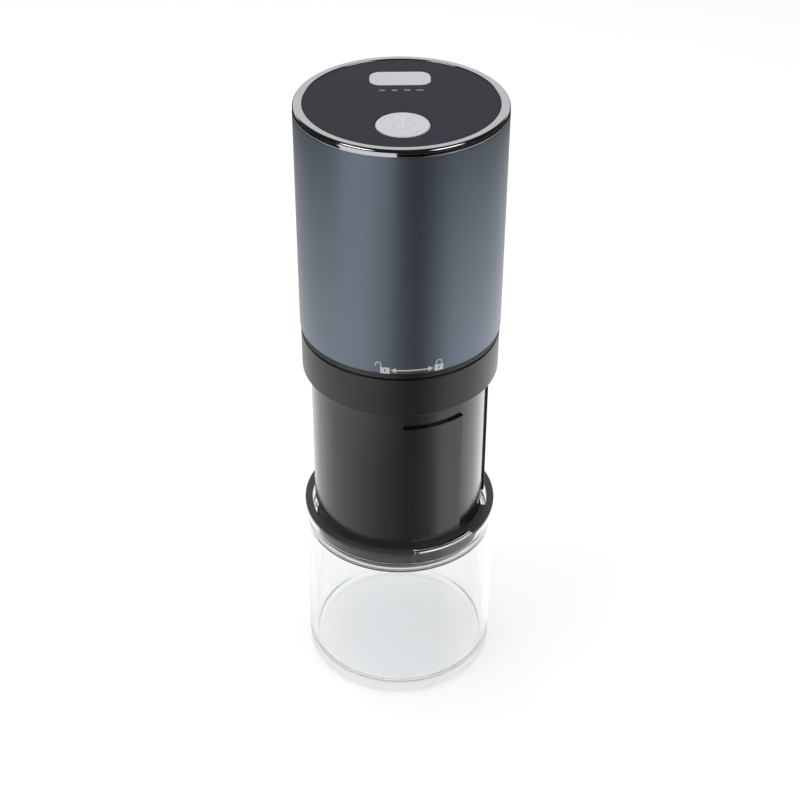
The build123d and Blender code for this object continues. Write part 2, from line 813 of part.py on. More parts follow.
# Base plate: the black floor of the motor housing, with the visible band, and a spigot with bayonet
# lugs that turns and lifts in the collar
with BuildPart() as base_plate:
    with BuildSketch(Plane.XZ):
        with BuildLine():
            Polyline(
                (bush_radius + seat_fit, band_bottom),
                (spigot_bore, band_bottom),
                (spigot_bore, spigot_bottom),
                (spigot_radius, spigot_bottom),
                (spigot_radius, band_bottom),
                (band_radius, band_bottom),
                (band_radius, sleeve_bottom),
                (plate_rim_radius, sleeve_bottom),
                (plate_rim_radius, chassis_bottom),
                (plate_rim_radius - plate_rim_wall, chassis_bottom),
                (plate_rim_radius - plate_rim_wall, plate_top),
                (bush_radius + seat_fit, plate_top),
                close=True,
            )
        make_face()
    revolve(axis=Axis.Z)
    for index in range(bayonet_count):
        middle = 360 / bayonet_count * index
        half = bayonet_lug_angle / 2
        with BuildSketch(Plane.XY.offset(bayonet_lug_bottom)):
            lug_root = spigot_radius - root_overlap
            add(ring_sector(lug_root, bayonet_lug_radius, middle - half, middle + half))
        extrude(amount=bayonet_lug_height)
    for angle in web_angles:
        with BuildSketch(polar_plane(plate_screw_distance, angle, plate_top)):
            Circle(plate_screw_head_radius + plate_boss_wall)
        extrude(amount=plate_rim_height)
    for angle in web_angles:
        with BuildSketch(polar_plane(plate_screw_distance, angle, band_bottom)):
            Circle(plate_screw_head_radius + pocket_gap)
        extrude(amount=plate_screw_head_height + pocket_gap, mode=Mode.SUBTRACT)
        with BuildSketch(polar_plane(plate_screw_distance, angle, band_bottom)):
            Circle(plate_screw_radius + pocket_gap)
        extrude(amount=plate_thickness + plate_rim_height, mode=Mode.SUBTRACT)
    with BuildSketch(Plane.XY.offset(band_bottom)):
        with PolarLocations(gearbox_screw_distance, gearbox_screw_count, start_angle=half_turn):
            Circle(gearbox_screw_head_radius + pocket_gap)
    extrude(amount=gearbox_screw_head_height + pocket_gap, mode=Mode.SUBTRACT)
    with BuildSketch(Plane.XY.offset(band_bottom)):
        with PolarLocations(gearbox_screw_distance, gearbox_screw_count, start_angle=half_turn):
            Circle(gearbox_screw_radius + rest_gap)
    extrude(amount=plate_thickness, mode=Mode.SUBTRACT)
base_plate.part.label = "base_plate"
export_step(base_plate.part, "parts/base_plate.step")

# Screws from below, through the base plate into the chassis and into the gearbox cover
plate_screws = screw_row(
    plate_screw_distance,
    web_angles,
    band_bottom + rest_gap,
    plate_screw_head_radius,
    plate_screw_head_height,
    plate_screw_radius,
    plate_screw_length,
)
plate_screws.part.label = "plate_screws"
export_step(plate_screws.part, "parts/plate_screws.step")

gearbox_screws = screw_row(
    gearbox_screw_distance,
    gearbox_screw_angles,
    band_bottom + rest_gap,
    gearbox_screw_head_radius,
    gearbox_screw_head_height,
    gearbox_screw_radius,
    plate_thickness + gearbox_cover_thickness / 2 - gearbox_screw_head_height,
)
gearbox_screws.part.label = "gearbox_screws"
export_step(gearbox_screws.part, "parts/gearbox_screws.step")

# Outer sleeve: a painted metal tube with the charging port's hole at the back
with BuildPart() as outer_sleeve:
    with BuildSketch(Plane.XY.offset(sleeve_bottom)):
        Circle(sleeve_radius)
        Circle(sleeve_bore, mode=Mode.SUBTRACT)
    extrude(amount=sleeve_top - sleeve_bottom)
    lower_edges = outer_sleeve.edges().group_by(Axis.Z)[0].sort_by(SortBy.RADIUS)
    fillet(lower_edges[-1], sleeve_round)
    with BuildSketch(Plane.XZ.offset(-sleeve_radius - overcut)):
        with Locations((0, socket_z)):
            SlotOverall(socket_width + 2 * port_margin, socket_height + 2 * port_margin)
    extrude(amount=sleeve_wall + 2 * overcut, mode=Mode.SUBTRACT)
outer_sleeve.part.label = "outer_sleeve"
export_step(outer_sleeve.part, "parts/outer_sleeve.step")

# Chrome trim ring: it closes the sleeve's top and holds the panel on a ledge
with BuildPart() as trim_ring:
    with BuildSketch(Plane.XZ) as trim_profile:
        with BuildLine():
            Polyline(
                (trim_bore, trim_top),
                (trim_radius, trim_top),
                (trim_radius, sleeve_top),
                (plate_rim_radius, sleeve_top),
                (plate_rim_radius, sleeve_top - trim_spigot),
                (trim_bore - trim_ledge, sleeve_top - trim_spigot),
                (trim_bore - trim_ledge, panel_bottom),
                (trim_bore, panel_bottom),
                close=True,
            )
        make_face()
        fillet(trim_profile.vertices().sort_by_distance((trim_radius, trim_top))[0], trim_round)
        fillet(trim_profile.vertices().sort_by_distance((trim_bore, trim_top))[0], trim_inner_round)
    revolve(axis=Axis.Z)
trim_ring.part.label = "trim_ring"
export_step(trim_ring.part, "parts/trim_ring.step")

# Top panel: a charcoal disc with holes for the button and the battery window
with BuildPart() as top_panel:
    with BuildSketch(Plane.XY.offset(panel_bottom)):
        Circle(trim_bore - rest_gap)
        with Locations((0, -button_distance)):
            Circle(button_radius + button_clearance, mode=Mode.SUBTRACT)
        with Locations((0, window_distance)):
            RectangleRounded(
                window_length + rest_gap,
                window_width + rest_gap,
                window_round + rest_gap / 2,
                mode=Mode.SUBTRACT,
            )
    extrude(amount=panel_thickness)
top_panel.part.label = "top_panel"
export_step(top_panel.part, "parts/top_panel.step")

# Power button: a white cap with a flange that keeps it under the panel, and a stem below
with BuildPart() as power_button:
    with BuildSketch(Plane((0, -button_distance, button_bottom))):
        Circle(button_radius)
    extrude(amount=button_cap)
    fillet(power_button.edges().group_by(Axis.Z)[-1], button_round)
    with BuildSketch(Plane((0, -button_distance, panel_bottom - moving_gap))):
        Circle(button_radius + button_flange)
    extrude(amount=-button_flange_height)
    with BuildSketch(Plane((0, -button_distance, button_bottom))):
        Circle(button_stem_radius)
    extrude(amount=-button_stem)
power_button.part.label = "power_button"
export_step(power_button.part, "parts/power_button.step")

# Switch under the button: a body on the board, and the plunger that the stem presses
switch_bore_floor = board_top + moving_gap
with BuildPart() as tact_switch:
    with BuildSketch(Plane((0, -button_distance, board_top))):
        Rectangle(switch_width, switch_width)
    extrude(amount=switch_height)
    with BuildSketch(Plane((0, -button_distance, switch_bore_floor))):
        Circle(plunger_radius + plunger_gap)
    extrude(amount=switch_height, mode=Mode.SUBTRACT)
tact_switch.part.label = "tact_switch"
export_step(tact_switch.part, "parts/tact_switch.step")

plunger_bottom = switch_bore_floor + button_travel + rest_gap
with BuildPart() as switch_plunger:
    with BuildSketch(Plane((0, -button_distance, plunger_bottom))):
        Circle(plunger_radius)
    extrude(amount=stem_bottom - rest_gap - plunger_bottom)
switch_plunger.part.label = "switch_plunger"
export_step(switch_plunger.part, "parts/switch_plunger.step")

# Battery window: a pale light guide with rounded corners and a glued flange under the panel
with BuildPart() as battery_window:
    with BuildSketch(Plane((0, window_distance, panel_bottom - window_depth + panel_thickness))):
        RectangleRounded(window_length, window_width, window_round)
    extrude(amount=window_depth)
    with BuildSketch(Plane((0, window_distance, panel_bottom - rest_gap))):
        RectangleRounded(
            window_length + 2 * window_flange,
            window_width + 2 * window_flange,
            window_round + window_flange,
        )
    extrude(amount=-window_flange)
battery_window.part.label = "battery_window"
export_step(battery_window.part, "parts/battery_window.step")

# Circuit board with its lamps, on three pillars
with BuildPart() as circuit_board:
    with BuildSketch(Plane.XY.offset(board_bottom)):
        Circle(board_radius)
        for angle in web_angles:
            around = math.radians(angle)
            spot = (board_screw_distance * math.cos(around), board_screw_distance * math.sin(around))
            with Locations(spot):
                Circle(board_screw_radius + board_screw_gap, mode=Mode.SUBTRACT)
    extrude(amount=board_thickness)
circuit_board.part.label = "circuit_board"
export_step(circuit_board.part, "parts/circuit_board.step")

with BuildPart() as status_lamps:
    with BuildSketch(Plane((0, window_distance, board_top))):
        with GridLocations(led_spacing, 1, led_count, 1):
            Rectangle(led_width, led_depth)
    extrude(amount=led_height)
status_lamps.part.label = "status_lamps"
export_step(status_lamps.part, "parts/status_lamps.step")

board_screws = screw_row(
    board_screw_distance,
    web_angles,
    board_top + board_screw_head_height,
    board_screw_head_radius,
    board_screw_head_height,
    board_screw_radius,
    board_screw_length,
    direction=-1,
)
board_screws.part.label = "board_screws"
export_step(board_screws.part, "parts/board_screws.step")

# Charging socket: a metal shell on the board's back edge, with the contact tongue inside
with BuildPart() as charge_socket:
    with BuildSketch(Plane.XZ.offset(-socket_mouth)):
        with Locations((0, socket_z)):
            SlotOverall(socket_width, socket_height)
    extrude(amount=socket_length)
    with BuildSketch(Plane.XZ.offset(-socket_mouth)):
        with Locations((0, socket_z)):
            SlotOverall(socket_width - 2 * socket_shell, socket_height - 2 * socket_shell)
    extrude(amount=socket_cavity, mode=Mode.SUBTRACT)
    with BuildSketch(Plane.XZ.offset(socket_cavity - socket_mouth)):
        with Locations((0, socket_z)):
            Rectangle(tongue_width, tongue_thickness)
    extrude(amount=-tongue_length)
charge_socket.part.label = "charge_socket"
export_step(charge_socket.part, "parts/charge_socket.step")

# Inner chassis: a plastic core with the motor's bore, three battery pockets and lightening holes
with BuildPart() as inner_chassis:
    with BuildSketch(Plane.XY.offset(chassis_bottom)):
        Circle(chassis_radius)
        Circle(core_bore, mode=Mode.SUBTRACT)
        for angle in web_angles:
            for offset in (-lightening_angle, lightening_angle):
                around = math.radians(angle + offset)
                spot = (cell_circle * math.cos(around), cell_circle * math.sin(around))
                with Locations(spot):
                    Circle(lightening_radius, mode=Mode.SUBTRACT)
    extrude(amount=chassis_top - chassis_bottom)
    for angle in cell_angles:
        with BuildSketch(polar_plane(cell_circle, angle, chassis_bottom + chassis_web)):
            Circle(cell_radius + cell_clearance)
        extrude(amount=chassis_top - chassis_bottom, mode=Mode.SUBTRACT)
    for angle in web_angles:
        with BuildSketch(polar_plane(plate_screw_distance, angle, chassis_bottom)):
            Circle(plate_screw_radius + seat_fit)
        extrude(amount=plate_screw_length, mode=Mode.SUBTRACT)
inner_chassis.part.label = "inner_chassis"
export_step(inner_chassis.part, "parts/inner_chassis.step")

# Battery cells with their contact discs
with BuildPart() as battery_cells:
    for angle in cell_angles:
        with BuildSketch(polar_plane(cell_circle, angle, cell_bottom)):
            Circle(cell_radius)
        extrude(amount=cell_length)
        with BuildSketch(polar_plane(cell_circle, angle, cell_bottom + cell_length)):
            Circle(cell_nub_radius)
        extrude(amount=cell_nub_height)
battery_cells.part.label = "battery_cells"
export_step(battery_cells.part, "parts/battery_cells.step")

with BuildPart() as cell_contacts:
    for angle in cell_angles:
        for height in (chassis_bottom + chassis_web, chassis_top - contact_thickness):
            with BuildSketch(polar_plane(cell_circle, angle, height)):
                Circle(cell_radius - contact_inset)
            extrude(amount=contact_thickness)
cell_contacts.part.label = "cell_contacts"
export_step(cell_contacts.part, "parts/cell_contacts.step")

# Board frame: a plate over the cells, with the pillars that carry the circuit board
with BuildPart() as board_frame:
    with BuildSketch(Plane.XY.offset(chassis_top)):
        Circle(chassis_radius)
        Circle(core_bore, mode=Mode.SUBTRACT)
    extrude(amount=board_frame_thickness)
    for angle in web_angles:
        with BuildSketch(polar_plane(board_screw_distance, angle, board_frame_top)):
            Circle(pillar_radius)
            Circle(board_screw_radius + seat_fit, mode=Mode.SUBTRACT)
        extrude(amount=board_bottom - board_frame_top)
board_frame.part.label = "board_frame"
export_step(board_frame.part, "parts/board_frame.step")

# Motor can, magnets, end cap, brushes and bushes
with BuildPart() as motor_can:
    with BuildSketch(Plane.XY.offset(gearbox_top)):
        Circle(motor_radius)
        Circle(motor_bush_radius + seat_fit, mode=Mode.SUBTRACT)
    extrude(amount=can_wall)
    with BuildSketch(Plane.XY.offset(gearbox_top)):
        Circle(motor_radius)
        Circle(motor_radius - can_wall, mode=Mode.SUBTRACT)
    extrude(amount=motor_length)
motor_can.part.label = "motor_can"
export_step(motor_can.part, "parts/motor_can.step")

magnet_outer = motor_radius - can_wall - running_fit
magnet_inner = magnet_outer - magnet_thickness
with BuildPart() as motor_magnets:
    with BuildSketch(Plane.XY.offset(armature_bottom - magnet_overhang)):
        for side in (0, 180):
            half = magnet_angle / 2
            add(ring_sector(magnet_inner, magnet_outer, side - half, side + half))
    extrude(amount=armature_length + 2 * magnet_overhang)
motor_magnets.part.label = "motor_magnets"
export_step(motor_magnets.part, "parts/motor_magnets.step")

with BuildPart() as motor_end_cap:
    with BuildSketch(Plane.XY.offset(motor_top)):
        Circle(motor_radius)
    extrude(amount=end_cap_thickness)
    with BuildSketch(Plane.XY.offset(motor_top)):
        Circle(motor_radius - can_wall - running_fit)
    extrude(amount=-can_wall)
    with BuildSketch(Plane.XY.offset(motor_top - can_wall)):
        Circle(motor_bush_radius + seat_fit)
    extrude(amount=end_cap_thickness + can_wall, mode=Mode.SUBTRACT)
motor_end_cap.part.label = "motor_end_cap"
export_step(motor_end_cap.part, "parts/motor_end_cap.step")

with BuildPart() as motor_bushes:
    for height in (gearbox_top, motor_top):
        with BuildSketch(Plane.XY.offset(height)):
            Circle(motor_bush_radius)
            Circle(motor_shaft_radius + running_fit, mode=Mode.SUBTRACT)
        extrude(amount=motor_bush_length)
motor_bushes.part.label = "motor_bushes"
export_step(motor_bushes.part, "parts/motor_bushes.step")

with BuildPart() as motor_brushes:
    with BuildSketch(Plane.XY.offset(commutator_bottom + moving_gap)):
        for side in (-1, 1):
            with Locations((side * (commutator_radius + moving_gap + brush_length / 2), 0)):
                Rectangle(brush_length, brush_width)
    extrude(amount=motor_top - can_wall - commutator_bottom - moving_gap)
motor_brushes.part.label = "motor_brushes"
export_step(motor_brushes.part, "parts/motor_brushes.step")

# Rotor: shaft and pinion in one, with the armature and the commutator pressed on
pinion_bottom = carrier_one_bottom + carrier_thickness + gear_side_gap
with BuildPart() as motor_rotor:
    with BuildSketch(Plane.XY.offset(pinion_bottom)):
        add(gear_outline(sun_teeth, sun_radius - dedendum, sun_radius + addendum, flank_play))
    extrude(amount=gear_width + 2 * gear_side_gap)
    with BuildSketch(Plane.XY.offset(pinion_bottom)):
        Circle(motor_shaft_radius)
    extrude(amount=motor_top + motor_bush_length - moving_gap - pinion_bottom)
motor_rotor.part.label = "motor_rotor"
export_step(motor_rotor.part, "parts/motor_rotor.step")

armature_radius = magnet_inner - air_gap
with BuildPart() as motor_armature:
    with BuildSketch(Plane.XY.offset(armature_bottom)):
        Circle(armature_radius)
        with PolarLocations(armature_radius, armature_slot_count):
            Rectangle(2 * armature_slot_depth, armature_slot_width, mode=Mode.SUBTRACT)
        Circle(motor_shaft_radius + seat_fit / 2, mode=Mode.SUBTRACT)
    extrude(amount=armature_length)
motor_armature.part.label = "motor_armature"
export_step(motor_armature.part, "parts/motor_armature.step")

with BuildPart() as motor_commutator:
    with BuildSketch(Plane.XY.offset(commutator_bottom)):
        Circle(commutator_radius)
        Circle(motor_shaft_radius + seat_fit / 2, mode=Mode.SUBTRACT)
    extrude(amount=commutator_length)
motor_commutator.part.label = "motor_commutator"
export_step(motor_commutator.part, "parts/motor_commutator.step")

# Gearbox: a ring gear as long as both stages, and a cover below it
with BuildPart() as ring_gear:
    with BuildSketch(Plane.XY.offset(cover_top)):
        Circle(gearbox_radius)
        teeth_space = gear_outline(
            ring_teeth, gear_ring_radius - addendum, gear_ring_radius + dedendum, -flank_play
        )
        add(teeth_space.rotate(Axis.Z, 180 / ring_teeth), mode=Mode.SUBTRACT)
    extrude(amount=gearbox_top - cover_top)
ring_gear.part.label = "ring_gear"
export_step(ring_gear.part, "parts/ring_gear.step")

with BuildPart() as gearbox_cover:
    with BuildSketch(Plane.XY.offset(plate_top)):
        Circle(gearbox_radius)
        Circle(shaft_radius + moving_gap, mode=Mode.SUBTRACT)
        with PolarLocations(gearbox_screw_distance, gearbox_screw_count, start_angle=half_turn):
            Circle(gearbox_screw_radius + rest_gap, mode=Mode.SUBTRACT)
    extrude(amount=gearbox_cover_thickness)
gearbox_cover.part.label = "gearbox_cover"
export_step(gearbox_cover.part, "parts/gearbox_cover.step")

# Planet carriers: a disc with three pins; the first carries the second stage's sun below, and the
# second carries the output shaft
pin_length = gear_width + gear_side_gap + pin_end_gap
with BuildPart() as carrier_one:
    with BuildSketch(Plane.XY.offset(carrier_one_bottom)):
        Circle(carrier_radius)
    extrude(amount=carrier_thickness)
    for angle in planet_angles:
        with BuildSketch(polar_plane(pin_circle, angle, carrier_one_bottom + carrier_thickness)):
            Circle(pin_radius)
        extrude(amount=pin_length)
    with BuildSketch(Plane.XY.offset(carrier_one_bottom)):
        add(gear_outline(sun_teeth, sun_radius - dedendum, sun_radius + addendum, flank_play))
    extrude(amount=-(gear_width + 2 * gear_side_gap))
carrier_one.part.label = "carrier_one"
export_step(carrier_one.part, "parts/carrier_one.step")

with BuildPart() as carrier_two:
    with BuildSketch(Plane.XY.offset(carrier_two_bottom)):
        Circle(carrier_radius)
    extrude(amount=carrier_thickness)
    for angle in planet_angles:
        with BuildSketch(polar_plane(pin_circle, angle, carrier_two_bottom + carrier_thickness)):
            Circle(pin_radius)
        extrude(amount=pin_length)
    with BuildSketch(Plane.XY.offset(coupler_bottom)):
        Circle(shaft_radius)
    extrude(amount=carrier_two_bottom - coupler_bottom)
carrier_two.part.label = "carrier_two"
export_step(carrier_two.part, "parts/carrier_two.step")

# Planet gears: each has a gap towards the sun and another towards the ring
planet_number = 0
for carrier_bottom in (carrier_one_bottom, carrier_two_bottom):
    for angle in planet_angles:
        planet_number += 1
        planet_bottom = carrier_bottom + carrier_thickness + gear_side_gap
        half_pitch = 180 / planet_teeth
        with BuildPart() as planet_gear:
            with BuildSketch(polar_plane(pin_circle, angle, planet_bottom, angle + half_pitch)):
                add(
                    gear_outline(
                        planet_teeth, planet_radius - dedendum, planet_radius + addendum, flank_play
                    )
                )
                Circle(pin_radius + running_fit, mode=Mode.SUBTRACT)
            extrude(amount=gear_width)
        planet_gear.part.label = f"planet_gear_{planet_number}"
        export_step(planet_gear.part, f"parts/planet_gear_{planet_number}.step")

# Output bush in the base plate, and the two-jawed coupler that drives the shaft's blade
with BuildPart() as output_bush:
    with BuildSketch(Plane.XY.offset(band_bottom)):
        Circle(bush_radius)
        Circle(shaft_radius + running_fit, mode=Mode.SUBTRACT)
    extrude(amount=plate_thickness)
output_bush.part.label = "output_bush"
export_step(output_bush.part, "parts/output_bush.step")

with BuildPart() as drive_coupler:
    with BuildSketch(Plane.XY.offset(coupler_bottom)):
        Circle(coupler_radius)
    extrude(amount=coupler_disc)
    with BuildSketch(Plane.XY.offset(jaw_bottom)):
        for blade_end in (90, 270):
            jaw_end = blade_end - jaw_lead
            add(ring_sector(jaw_inner_radius, coupler_radius, jaw_end - jaw_angle, jaw_end))
    extrude(amount=coupler_bottom - jaw_bottom)
    with BuildSketch(Plane.XY.offset(coupler_bottom)):
        Circle(shaft_radius + seat_fit / 2)
    extrude(amount=coupler_disc, mode=Mode.SUBTRACT)
drive_coupler.part.label = "drive_coupler"
export_step(drive_coupler.part, "parts/drive_coupler.step")
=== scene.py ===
import math

import bmesh
import bpy
from mathutils import Matrix, Vector


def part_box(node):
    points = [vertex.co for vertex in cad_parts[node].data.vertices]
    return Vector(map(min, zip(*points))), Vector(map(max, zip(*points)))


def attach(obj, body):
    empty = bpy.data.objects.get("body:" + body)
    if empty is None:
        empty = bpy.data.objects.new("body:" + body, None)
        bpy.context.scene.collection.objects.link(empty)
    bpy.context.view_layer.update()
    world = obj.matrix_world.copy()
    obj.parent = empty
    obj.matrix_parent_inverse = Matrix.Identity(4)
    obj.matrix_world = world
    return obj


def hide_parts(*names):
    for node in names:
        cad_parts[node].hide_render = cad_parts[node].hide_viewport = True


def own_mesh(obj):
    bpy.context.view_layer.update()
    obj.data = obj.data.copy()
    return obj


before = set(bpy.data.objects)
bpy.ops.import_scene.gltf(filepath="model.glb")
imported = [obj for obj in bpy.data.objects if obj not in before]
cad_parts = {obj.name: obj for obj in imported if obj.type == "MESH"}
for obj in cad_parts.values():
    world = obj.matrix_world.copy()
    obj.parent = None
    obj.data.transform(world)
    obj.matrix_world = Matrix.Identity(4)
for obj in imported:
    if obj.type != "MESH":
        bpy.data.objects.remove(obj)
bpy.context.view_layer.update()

# The studio around the grinder: one camera, standing a forearm's length off and looking down on
# the lid, a pale table, and soft light from above and from both front corners.
for leftover in ("Cube", "Light", "Camera"):
    if leftover in bpy.data.objects:
        bpy.data.objects.remove(bpy.data.objects[leftover])
studio = bpy.context.scene.collection
bpy.context.scene.view_settings.view_transform = "Standard"

camera_place = (-0.0120, -0.4299, 0.4184)
pan, tilt, roll = (math.radians(angle) for angle in (-1.6, 53.91, 0.27))
lens = bpy.data.cameras.new("studio_camera")
lens.lens = 72.34
lens.sensor_width = 36
lens.clip_start = 0.01
camera = bpy.data.objects.new("studio_camera", lens)
camera.matrix_world = (
    Matrix.Translation(camera_place)
    @ Matrix.Rotation(pan, 4, "Z")
    @ Matrix.Rotation(tilt, 4, "X")
    @ Matrix.Rotation(roll, 4, "Z")
)
studio.objects.link(camera)
bpy.context.scene.camera = camera


def softbox(name, place, target, width, height, watts):
    """A large diffuser lamp that faces its target."""
    lamp = bpy.data.lights.new(name, "AREA")
    lamp.shape = "RECTANGLE"
    lamp.size = width
    lamp.size_y = height
    lamp.energy = watts
    holder = bpy.data.objects.new(name, lamp)
    facing = (Vector(target) - Vector(place)).to_track_quat("-Z", "Y")
    holder.matrix_world = Matrix.Translation(place) @ facing.to_matrix().to_4x4()
    studio.objects.link(holder)
    return holder


overhead = softbox("top_softbox", (-0.15, 0.10, 0.95), (0, 0, 0.1),
                   width=0.9, height=0.9, watts=3.0)
overhead.visible_glossy = False
for side, across in (("left", -0.58), ("right", 0.58)):
    softbox(side + "_softbox", (across, -0.31, 1.05), (0, 0, 0.15),
            width=0.5, height=0.25, watts=1.0)


def wire(tree, *links):
    """Join sockets of a node tree, each link a pair of output and input. A node stands for its
    first output."""
    for giver, taker in links:
        tree.links.new(giver.outputs[0] if isinstance(giver, bpy.types.Node) else giver, taker)


def step(tree, kind, inputs=(), **settings):
    """Add a node to a tree: settings are its properties, inputs are values, sockets or nodes."""
    made = tree.nodes.new(kind)
    for setting, value in settings.items():
        setattr(made, setting, value)
    for label, value in dict(inputs).items():
        if isinstance(value, (bpy.types.Node, bpy.types.NodeSocket)):
            wire(tree, (value, made.inputs[label]))
        else:
            made.inputs[label].default_value = value
    return made


def empty_material(name):
    """A material and its node tree, still empty."""
    material = bpy.data.materials.new(name)
    material.use_nodes = True
    material.node_tree.nodes.clear()
    return material, material.node_tree


def light_path_of(tree, *rays):
    """One socket that is 1 for any of these kinds of ray."""
    seen_by = step(tree, "ShaderNodeLightPath").outputs
    found = seen_by[rays[0]]
    for ray in rays[1:]:
        found = step(tree, "ShaderNodeMath", {0: found, 1: seen_by[ray]}, operation="MAXIMUM")
    return found


def ramp(tree, value, *stops):
    """A value drawn from stops of place and strength."""
    strip = step(tree, "ShaderNodeValToRGB", {"Fac": value})
    strip.color_ramp.interpolation = "EASE"
    while len(strip.color_ramp.elements) < len(stops):
        strip.color_ramp.elements.new(0.5)
    for element, (place, strength) in zip(strip.color_ramp.elements, stops):
        element.position = place
        element.color = (strength, strength, strength, 1)
    return strip


# The air is white to the eye and through clear pieces. In reflections only the wall behind the
# grinder is light, so the chrome shows a pale top and dark sides.
sky = bpy.data.worlds.new("studio_air")
bpy.context.scene.world = sky
sky.use_nodes = True
air = sky.node_tree
air.nodes.clear()
direction = step(air, "ShaderNodeTexCoord")
parts_of = step(air, "ShaderNodeSeparateXYZ", {0: direction.outputs["Generated"]})
back_wall = ramp(air, parts_of.outputs["Y"], (0.0, 0.02), (0.58, 0.03), (0.76, 1.0), (1.0, 1.0))
white = (1, 1, 1, 1)
seen = step(air, "ShaderNodeBackground", {"Color": white, "Strength": 1.0})
filling = step(air, "ShaderNodeBackground", {"Color": white, "Strength": 0.5})
mirrored = step(air, "ShaderNodeBackground", {"Color": back_wall, "Strength": 0.66})
unseen = step(air, "ShaderNodeMixShader",
              {0: light_path_of(air, "Is Glossy Ray"), 1: filling, 2: mirrored})
all_air = step(air, "ShaderNodeMixShader",
               {0: light_path_of(air, "Is Camera Ray", "Is Transmission Ray"), 1: unseen, 2: seen})
step(air, "ShaderNodeOutputWorld", {0: all_air})


def flat_sheet(name, points, faces, material):
    """A plain mesh object from points and faces."""
    mesh = bpy.data.meshes.new(name)
    mesh.from_pydata(points, [], faces)
    mesh.materials.append(material)
    made = bpy.data.objects.new(name, mesh)
    studio.objects.link(made)
    return made


# The table is pale card. It glows a little to the eye, so that it stays white as far as it shows,
# and it lies a hair above the cup's foot, which then meets it as wet glass meets a table.
table_top, table = empty_material("pale_table")
card = step(table, "ShaderNodeBsdfDiffuse", {"Color": (0.86, 0.86, 0.865, 1)})
glow = step(table, "ShaderNodeEmission", {"Strength": 0.36})
dark = step(table, "ShaderNodeEmission", {"Strength": 0.0})
lift = step(table, "ShaderNodeMixShader",
            {0: light_path_of(table, "Is Camera Ray", "Is Transmission Ray"), 1: dark, 2: glow})
both = step(table, "ShaderNodeAddShader", {0: card, 1: lift})
step(table, "ShaderNodeOutputMaterial", {0: both})
floor_level = 0.00002
floor = flat_sheet(
    "pale_floor",
    [(x, y, floor_level) for x, y in ((-3, -3), (3, -3), (3, 3), (-3, 3))],
    [(0, 1, 2, 3)],
    table_top,
)

# Painted reflection of the table: a glowing sheet that only the glossy pieces mirror, painted lit
# close round the grinder, darker further out and darkest in front, where the camera's stand is,
# with a glowing pale card, also a painted reflection, lying at the front left.
# Painted reflection: this sheet glows and shows only in reflections, with its brightness painted by
# distance and by angle round the grinder.
painted_reflection, painted_reflection_tree = empty_material("table_gleam")
spot = step(painted_reflection_tree, "ShaderNodeTexCoord").outputs["Object"]
reach = step(painted_reflection_tree, "ShaderNodeVectorMath", {0: spot}, operation="LENGTH").outputs["Value"]
spot_parts = step(painted_reflection_tree, "ShaderNodeSeparateXYZ", {0: spot}).outputs
backwards = step(painted_reflection_tree, "ShaderNodeMath", {0: spot_parts["Y"], 1: -1}, operation="MULTIPLY")
round_about = step(painted_reflection_tree, "ShaderNodeMath", {0: spot_parts["X"], 1: backwards},
                   operation="ARCTAN2")
turn_share = step(painted_reflection_tree, "ShaderNodeMath", {0: round_about, 1: 1 / (2 * math.pi), 2: 0.5},
                  operation="MULTIPLY_ADD")
fading = ramp(
    painted_reflection_tree, reach,
    (0.0, 1.0), (0.22, 0.98), (0.3, 0.72), (0.41, 0.6), (0.428, 0.56), (0.434, 0.015), (1.0, 0.01),
)
near_by = ramp(
    painted_reflection_tree, turn_share,
    (0.0, 1.7), (0.1, 1.45), (0.19, 1.15), (0.26, 0.85), (0.33, 0.7), (0.39, 0.5), (0.45, 0.3),
    (0.53, 0.16), (0.59, 0.27), (0.645, 0.9), (0.71, 0.82), (0.78, 1.35), (0.86, 1.9), (1.0, 1.7),
)
far_off = ramp(
    painted_reflection_tree, turn_share,
    (0.0, 1.05), (0.2, 0.95), (0.28, 1.0), (0.34, 1.05), (0.39, 1.0), (0.447, 0.66), (0.497, 0.22),
    (0.55, 0.06), (0.6, 0.5), (0.654, 1.0), (0.713, 1.1), (0.8, 1.15), (0.9, 1.25), (1.0, 1.05),
)
mixed_by_reach = step(
    painted_reflection_tree, "ShaderNodeMapRange",
    {"Value": reach, "From Min": 0.175, "From Max": 0.215, "To Min": near_by, "To Max": far_off},
)
product = step(painted_reflection_tree, "ShaderNodeMath", {0: fading, 1: mixed_by_reach}, operation="MULTIPLY")
painted_glow = step(painted_reflection_tree, "ShaderNodeEmission", {"Strength": product})
step(painted_reflection_tree, "ShaderNodeOutputMaterial", {0: painted_glow})
# Painted reflection of a pale card: a grey card that glows and shows only in reflections.
pale_card = bpy.data.materials.new("pale_card")
pale_card.use_nodes = True
painted_card_glow = pale_card.node_tree.nodes["Principled BSDF"]
painted_card_glow.inputs["Base Color"].default_value = (0.1, 0.1, 0.1, 1)
painted_card_glow.inputs["Emission Color"].default_value = (0.62, 0.63, 0.65, 1)
painted_card_glow.inputs["Emission Strength"].default_value = 1.0


def mirrored_sheet(name, inner, outer, start, end, low, high, material):
    """A sheet round the grinder, flat or upright, that shows in reflections alone."""
    points, faces = [], []
    degrees_each = 3
    count = (end - start) // degrees_each
    for index in range(count + 1):
        turn = math.radians(start + (end - start) * index / count)
        for distance, height in ((inner, low), (outer, high)):
            points.append((distance * math.sin(turn), -distance * math.cos(turn), height))
        if index:
            last = len(points)
            faces.append((last - 4, last - 3, last - 1, last - 2))
    sheet = flat_sheet(name, points, faces, material)
    for ray in ("camera", "diffuse", "transmission", "volume_scatter", "shadow"):
        setattr(sheet, "visible_" + ray, False)


